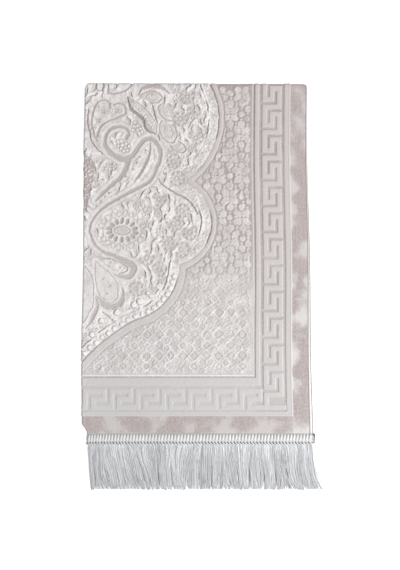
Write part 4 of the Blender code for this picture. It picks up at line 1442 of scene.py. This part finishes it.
def strand_places(u, end, out, h):
    """Points of the fringe: they droop towards the floor and lean to one side."""
    x, y, z = folded(u, end * (FRINGE_ROOT + out), h)
    past = np.maximum(0.0, out - STRIP_WIDTH)
    level = (z - STRIP_LOW) * DROOP_FLATTENS_TO + FLOOR_CLEARANCE
    z = z + (level - z) * smooth(past / DROOP_LENGTH)
    lean = 1 + LEAN_VARIES * np.sin(x / LEAN_REACH)
    flare = FLARE * smooth((x - FLARE_FROM) / FLARE_REACH)
    x = x + (LOCK_LEAN * lean + flare) * (past / LOCK_LENGTH) ** 1.5
    return np.stack([x + ORIGIN_X, y + ORIGIN_Y, z], axis=-1)


# %% Where each strand starts, and where it gathers
CLUMPS_PER_LOCK = 2
CLUMP_SPREAD = 0.8
CLUMP_LOOSE = 0.3 * MM
LOCK_SPREAD = 0.56 * LOCK_PITCH
LONGER = 2.0 * MM
LOCK_UNEVEN = 0.5
STRAND_UNEVEN = 0.7 * MM


def strand_roots(end, strands_per_lock, rng):
    """Root, clump and length of each strand; each side of the crease has its number."""
    askew = crease(end * RUG_LENGTH / 2)
    locks = []
    for side, strands in zip((1, -1), strands_per_lock):
        for i in range(LOCKS_PER_LAYER):
            middle = side * (FIRST_LOCK_FROM_CREASE + LOCK_PITCH * (i + 0.5)) + askew
            root = middle + rng.uniform(-LOCK_SPREAD, LOCK_SPREAD, strands)
            spread = rng.uniform(-CLUMP_SPREAD, CLUMP_SPREAD, CLUMPS_PER_LOCK)
            centres = middle + spread * LOCK_PITCH / 2
            nearest = centres[np.abs(root[:, None] - centres[None, :]).argmin(axis=1)]
            clump = nearest + rng.normal(0, CLUMP_LOOSE, strands)
            length = LOCK_LENGTH + LONGER + rng.uniform(-LOCK_UNEVEN, LOCK_UNEVEN) * MM
            locks.append(np.stack([root, clump, length + rng.normal(0, STRAND_UNEVEN, strands)]))
    return np.hstack(locks)[:, :, None]


# %% Strands
STRAND_STATIONS = 9
STRAND_SIDES = 3
STRAND_RADIUS = 0.31 * MM
STRAND_THINS = 0.55
STRAND_HEIGHTS = (0.9, 2.2)
ROOT_DEPTH = 0.8 * MM
ROOT_HEIGHT = 1.1 * MM
STRAY_UNEVEN = 0.55 * MM
BOW_UNEVEN = 0.45 * MM
LIFT_UNEVEN = 0.25 * MM
GATHERS = (0.28, 0.54)
SWAYS = ((12.0 * MM, 37 * MM), (6.0 * MM, 15 * MM), (1.6 * MM, 6 * MM))
BOW = (4.5 * MM, 17 * MM)
DOUBLE_BOW = (2.6 * MM, 12 * MM)


def drift(root, reach, size, seed):
    """A sideways distance that neighbouring strands share."""
    return reach * soft_noise(root, 0 * root, size, SEED + seed)


def fringe(name, end, strands_per_lock):
    """All strands of one end, as one object."""
    rng = np.random.default_rng(SEED + 20 + end)
    root, clump, length = strand_roots(end, strands_per_lock, rng)
    each = root.shape
    along = np.linspace(0.0, 1.0, STRAND_STATIONS)[None, :]
    gather = rng.uniform(*GATHERS, each) * smooth(along * 1.15)
    bow = rng.normal(0, BOW_UNEVEN, each) + drift(root, *BOW, 59)
    bow = bow * np.sin(np.pi * along)
    bow = bow + drift(root, *DOUBLE_BOW, 58) * np.sin(2 * np.pi * along)
    stray = rng.normal(0, STRAY_UNEVEN, each) * along ** 1.5
    for i, sway in enumerate(SWAYS):
        stray = stray + drift(root, *sway, 60 + i) * along ** (1.2 + 0.6 * i)
    u = root + (clump - root) * gather + bow + stray
    out = -ROOT_DEPTH + (length + STRIP_WIDTH + ROOT_DEPTH) * along
    h = rng.uniform(*STRAND_HEIGHTS, each) * MM + 0 * along
    h = h - (h - ROOT_HEIGHT) * 0.7 * (1 - smooth(along / 0.12))
    h = h + rng.normal(0, LIFT_UNEVEN, each) * np.sin(np.pi * along)
    h = np.maximum(h, STRIP_LOW + 0.1 * MM)
    radius = STRAND_RADIUS * (1.0 - STRAND_THINS * along ** 4) * rng.uniform(0.75, 1.15, each)
    across, up = round_section(STRAND_SIDES, np.pi / 6)
    ring_u = u[..., None] + radius[..., None] * across
    ring_h = np.maximum(h[..., None] + radius[..., None] * up, STRIP_LOW)
    points = strand_places(ring_u, end, np.repeat(out[..., None], STRAND_SIDES, -1), ring_h)
    # The slow drift of the tint paints bands of light and shade where strands gather in locks; the
    # random part is each strand's own.
    tints = 0.2 + drift(root, 0.7, 6 * MM, 57) + rng.uniform(-0.6, 0.6, each)
    item = tubes(name, points, tints[..., None])
    print(name, "has", len(root), "strands and", triangles(item), "triangles")
    return item


fringes = {
    "front": fringe("strands_front", -1, (86, 22)),
    "back": fringe("strands_back", 1, (14, 12)),
}

# %% [markdown]
# ## Overcast edges
# The long edges are overcast: cream yarn winds over the cut edge, turn beside turn. That
# makes a round bead with fine ribs across it. One tube does it, if its radius swells and
# shrinks with every turn of the yarn, and each ring of it is set slightly aslant.

# %% The binding
TURN_PITCH = 1.8 * MM
STATIONS_PER_TURN = 4
BEAD_RADIUS = 1.24 * MM
RIB_DEPTH = 0.22 * MM
BINDING_SIDES = 6


def binding(name, edge):
    half = PILE_ENDS - CLEARANCE
    stations = int(2 * half / TURN_PITCH * STATIONS_PER_TURN)
    v = np.linspace(-half, half, stations)[:, None]
    angles = (2 * np.pi * np.arange(BINDING_SIDES) / BINDING_SIDES)[None, :]
    phase = 2 * np.pi * v / TURN_PITCH + angles
    radius = BEAD_RADIUS - RIB_DEPTH * (0.5 - 0.5 * np.cos(phase))
    middle = RUG_WIDTH / 2 - BINDING_WIDTH / 2
    u = edge * (middle + radius * np.cos(angles))
    h = BINDING_WIDTH / 2 + radius * np.sin(angles)
    item = tubes(name, placed(u, v + 0 * u, np.maximum(h, 0.0))[None], 0.0)
    print(name, "has", triangles(item), "triangles")
    return item


bindings = {"outer": binding("overcast_outer", 1), "inner": binding("overcast_inner", -1)}

# %% [markdown]
# ## Velvet
# Velvet is many short threads on end. Seen from above it looks deep, and it catches
# light at its flanks. Where it is carved low it looks darker and warmer, because we look
# into the pile. So the colour follows the relief: pinkish grey on the ground, a lighter
# grey on the ridges. That is partly the pile's own tone and partly painted shade of the
# carved hollows, and the deep cuts get a painted shade of their own. The highest, fullest
# pile gets a painted highlight on its tips, and the ground and the ridges are painted
# lighter and cooler towards the rug's end, a painted sheen; the plain borders keep their
# warm ground. Brushing leaves lighter patches and faint streaks along the rug. All of it
# is noise on the flat coordinates, so it folds with the cloth.


# %% A finish, and the nodes it is made of
class Finish:
    """A material, with short ways to add the nodes that give its colour and bump."""

    def __init__(self, name, **inputs):
        self.material = bpy.data.materials.new(name)
        self.material.use_nodes = True
        self.tree = self.material.node_tree
        self.shader = self.tree.nodes["Principled BSDF"]
        set_inputs(self.shader, Specular_IOR_Level=0.25, **inputs)

    def feed(self, socket, value):
        """Gives a socket another node's result, or a plain value of its own."""
        if isinstance(value, bpy.types.NodeSocket):
            self.tree.links.new(value, socket)
        else:
            socket.default_value = value

    def node(self, kind, **values):
        node = self.tree.nodes.new("ShaderNode" + kind)
        for name, value in values.items():
            self.feed(node.inputs[name.replace("_", " ")], value)
        return node

    def stored(self, name, output="Fac"):
        """What a mesh carries under this name."""
        node = self.node("Attribute")
        node.attribute_name = name
        return node.outputs[output]

    def maths(self, operation, *values):
        node = self.node("Math")
        node.operation = operation
        for socket, value in zip(node.inputs, values):
            self.feed(socket, value)
        return node.outputs[0]

    def limited(self, value, low, high, soft=False):
        """The value's place between two limits, from 0 to 1."""
        node = self.node("MapRange", Value=value, From_Min=low, From_Max=high)
        node.interpolation_type = "SMOOTHSTEP" if soft else "LINEAR"
        return node.outputs["Result"]

    def cloudy(self, place, scale, low, high, detail=2.0):
        """Noise from 0 to 1; the scale is how many repeats fit in a metre."""
        stretched = self.node("Mapping", Vector=place, Scale=scale).outputs["Vector"]
        noise = self.node("TexNoise", Vector=stretched, Scale=1.0, Detail=detail)
        return self.limited(noise.outputs["Fac"], low, high, soft=True)

    def layered(self, colour, *layers):
        """Lays colours over one; each comes with its shares, which are multiplied."""
        for top, share, *factors in layers:
            for factor in factors:
                share = self.maths("MULTIPLY", share, factor)
            node = self.node("Mix")
            node.data_type = "RGBA"
            for i, value in ((0, share), (6, colour), (7, top)):
                self.feed(node.inputs[i], value)
            colour = node.outputs[2]
        return colour

    def complete(self, colour, height, strength, distance):
        """Links the colour, and a fine bump, to the shader."""
        bump = self.node("Bump", Strength=strength, Distance=distance, Height=height)
        self.feed(self.shader.inputs["Base Color"], colour)
        self.feed(self.shader.inputs["Normal"], bump.outputs["Normal"])
        return self.material


# %% The velvet finish
# The ground's darker, warmer tone is partly the pile's own and partly painted shade of the carved
# hollows.
GROUND_WARM = (0.338, 0.280, 0.272, 1.0)
# The two cooler colours are a painted sheen: ground and ridges turn lighter and cooler towards the
# rug's end.
GROUND_PAINTED_SHEEN = (0.430, 0.395, 0.384, 1.0)
RIDGE_WARM = (0.492, 0.455, 0.443, 1.0)
RIDGE_PAINTED_SHEEN = (0.503, 0.490, 0.480, 1.0)
# A near-white painted highlight for the tips of the highest, fullest pile.
TIPS_PAINTED_HIGHLIGHT = (0.800, 0.785, 0.770, 1.0)
BRUSHED = (0.590, 0.570, 0.555, 1.0)
SHADE = (0.325, 0.282, 0.276, 1.0)
SHEEN = (1.0, 0.97, 0.96, 1.0)
SIDE_BORDER_FROM = (0.3226, 0.3240)
END_BORDER_FROM = (0.5140, 0.5160)
PAINTED_SHEEN_RANGE = (0.16, 0.48)


def velvet_finish():
    look = Finish(
        "velvet", Roughness=0.85, Sheen_Weight=0.25, Sheen_Roughness=0.45, Sheen_Tint=SHEEN)
    flat = look.stored("flat", "Vector")
    raised = look.stored("raised")
    rough = look.stored("rough")
    parts = look.node("SeparateXYZ", Vector=flat).outputs
    across = look.maths("ABSOLUTE", parts["X"])
    along = look.maths("ABSOLUTE", parts["Y"])
    # The share of the painted sheen, growing towards the rug's end.
    painted_sheen_share = look.limited(along, *PAINTED_SHEEN_RANGE)
    side_strip = look.limited(across, *SIDE_BORDER_FROM)
    end_strip = look.limited(along, *END_BORDER_FROM)
    patches = look.cloudy(flat, (30, 23, 1), 0.46, 0.64, 6.0)
    highlight_patches = look.cloudy(flat, (46, 40, 1), 0.35, 0.65, 3.0)
    streaks = look.cloudy(flat, (330, 24, 1), 0.30, 0.70)
    speckle = look.cloudy(flat, (430, 300, 1), 0.42, 0.62)
    grain = look.cloudy(flat, (620, 620, 1), 0.35, 0.65, 3.0)
    highlight_specks = look.cloudy(flat, (510, 540, 7), 0.45, 0.65, 3.0)
    standing = look.maths("MULTIPLY", look.limited(raised, 0.25, 0.65), rough)
    ridge = look.layered(RIDGE_WARM, (RIDGE_PAINTED_SHEEN, painted_sheen_share))
    ground = look.layered(
        GROUND_WARM,
        (GROUND_PAINTED_SHEEN, painted_sheen_share),
        (GROUND_WARM, side_strip),
        (GROUND_WARM, end_strip),
        (ridge, speckle, 0.38),
        (BRUSHED, patches, 0.25),
        (BRUSHED, patches, side_strip, look.limited(along, -0.30, 0.40), 0.95),
        (BRUSHED, patches, end_strip, 0.42),
        (ridge, streaks, 0.22),
    )
    colour = look.layered(
        ground,
        # The ridge colour lies over the ground by height: partly the pile's own tone, partly
        # painted shade in the hollows.
        (ridge, look.limited(raised, 0.05, 0.50)),
        # Painted highlight: near-white on the highest pile, and in soft patches and specks over
        # the full pile of the field.
        (TIPS_PAINTED_HIGHLIGHT, look.limited(raised, 0.78, 1.25)),
        (TIPS_PAINTED_HIGHLIGHT, highlight_patches, standing, 0.32),
        (TIPS_PAINTED_HIGHLIGHT, highlight_specks, standing, 0.32),
        (GROUND_WARM, grain, rough, 0.35),
        (GROUND_WARM, grain, 0.14),
        (SHADE, look.limited(raised, -0.05, -0.40)),
    )
    return look.complete(colour, grain, 0.4, 0.0004)


velvet = velvet_finish()
for item in pile_tiles + [ground_cloth]:
    item.data.materials.append(velvet)
print("velvet on", len(pile_tiles) + 1, "pieces")

# %% [markdown]
# ## Yarns
# The heading, the fringe and the binding are yarn. Each strand or stitch differs a
# little from the next, so every tube carries a number of its own, and the colour
# follows it. On the tape, the cord and the fringe that number also carries painted
# shade: dark in the tape's gaps, darker along the cord's row, and in slow bands across
# the fringe's locks. Fine streaks and bump stand for the fibres. Silky yarn is smoother
# than cotton: that is its roughness, with a soft sheen on top.

# %% The yarn finishes
# For each: light and dark colour, roughness, sheen, and fibres to a metre each way.
YARNS = {
    "heading_yarn": ((0.64, 0.637, 0.634, 1), (0.31, 0.31, 0.318, 1), 0.6, 0.3, (900, 300, 900)),
    "fringe_silk": ((0.795, 0.80, 0.812, 1), (0.47, 0.475, 0.487, 1), 0.42, 0.5, (1500, 120, 600)),
    "edge_yarn": ((0.565, 0.54, 0.515, 1), (0.42, 0.395, 0.375, 1), 0.7, 0.3, (900, 900, 900)),
}


def yarn_finish(name):
    light, dark, roughness, sheen, fibres = YARNS[name]
    look = Finish(name, Roughness=roughness, Sheen_Weight=sheen, Sheen_Roughness=0.35)
    place = look.node("TexCoord").outputs["Object"]
    tint = look.limited(look.stored("tint"), -1.0, 1.0)
    streaks = look.cloudy(place, fibres, 0.3, 0.7, 3.0)
    colour = look.layered(dark, (light, tint), (dark, streaks, 0.3))
    return look.complete(colour, streaks, 0.25, 0.0003)


heading_yarn = yarn_finish("heading_yarn")
fringe_yarn = yarn_finish("fringe_silk")
edge_yarn = yarn_finish("edge_yarn")
print("yarns:", ", ".join(YARNS))

# %% [markdown]
# ## Telling the frame what each piece is
# Every piece rides on the rug's one body, stands for a solid of the plain model, and
# takes its finish from one of the rug's materials.


def hand_over(item, finish=None, node=None):
    """Fits one piece into the frame."""
    if finish is not None:
        item.data.materials.append(finish)
    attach(item, "root")
    if node is not None:
        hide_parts(node)


hand_over(ground_cloth, node="rug_cloth")
for item in pile_tiles:
    hand_over(item, node="rug_cloth")
for word in ("front", "back"):
    for item in headings[word]:
        hand_over(item, heading_yarn, "heading_" + word)
    hand_over(fringes[word], fringe_yarn, "fringe_" + word)
for word, item in bindings.items():
    hand_over(item, edge_yarn, "edge_binding_" + word)

# %% Print both sizes
boxes = {"solids": box_of_solids, "visual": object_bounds()}
{k: [[float(c) for c in corner] for corner in box] for k, box in boxes.items()}
for name, (low, high) in boxes.items():
    print(name, "box:", [round((b - a) / MM, 1) for a, b in zip(low, high)], "mm")
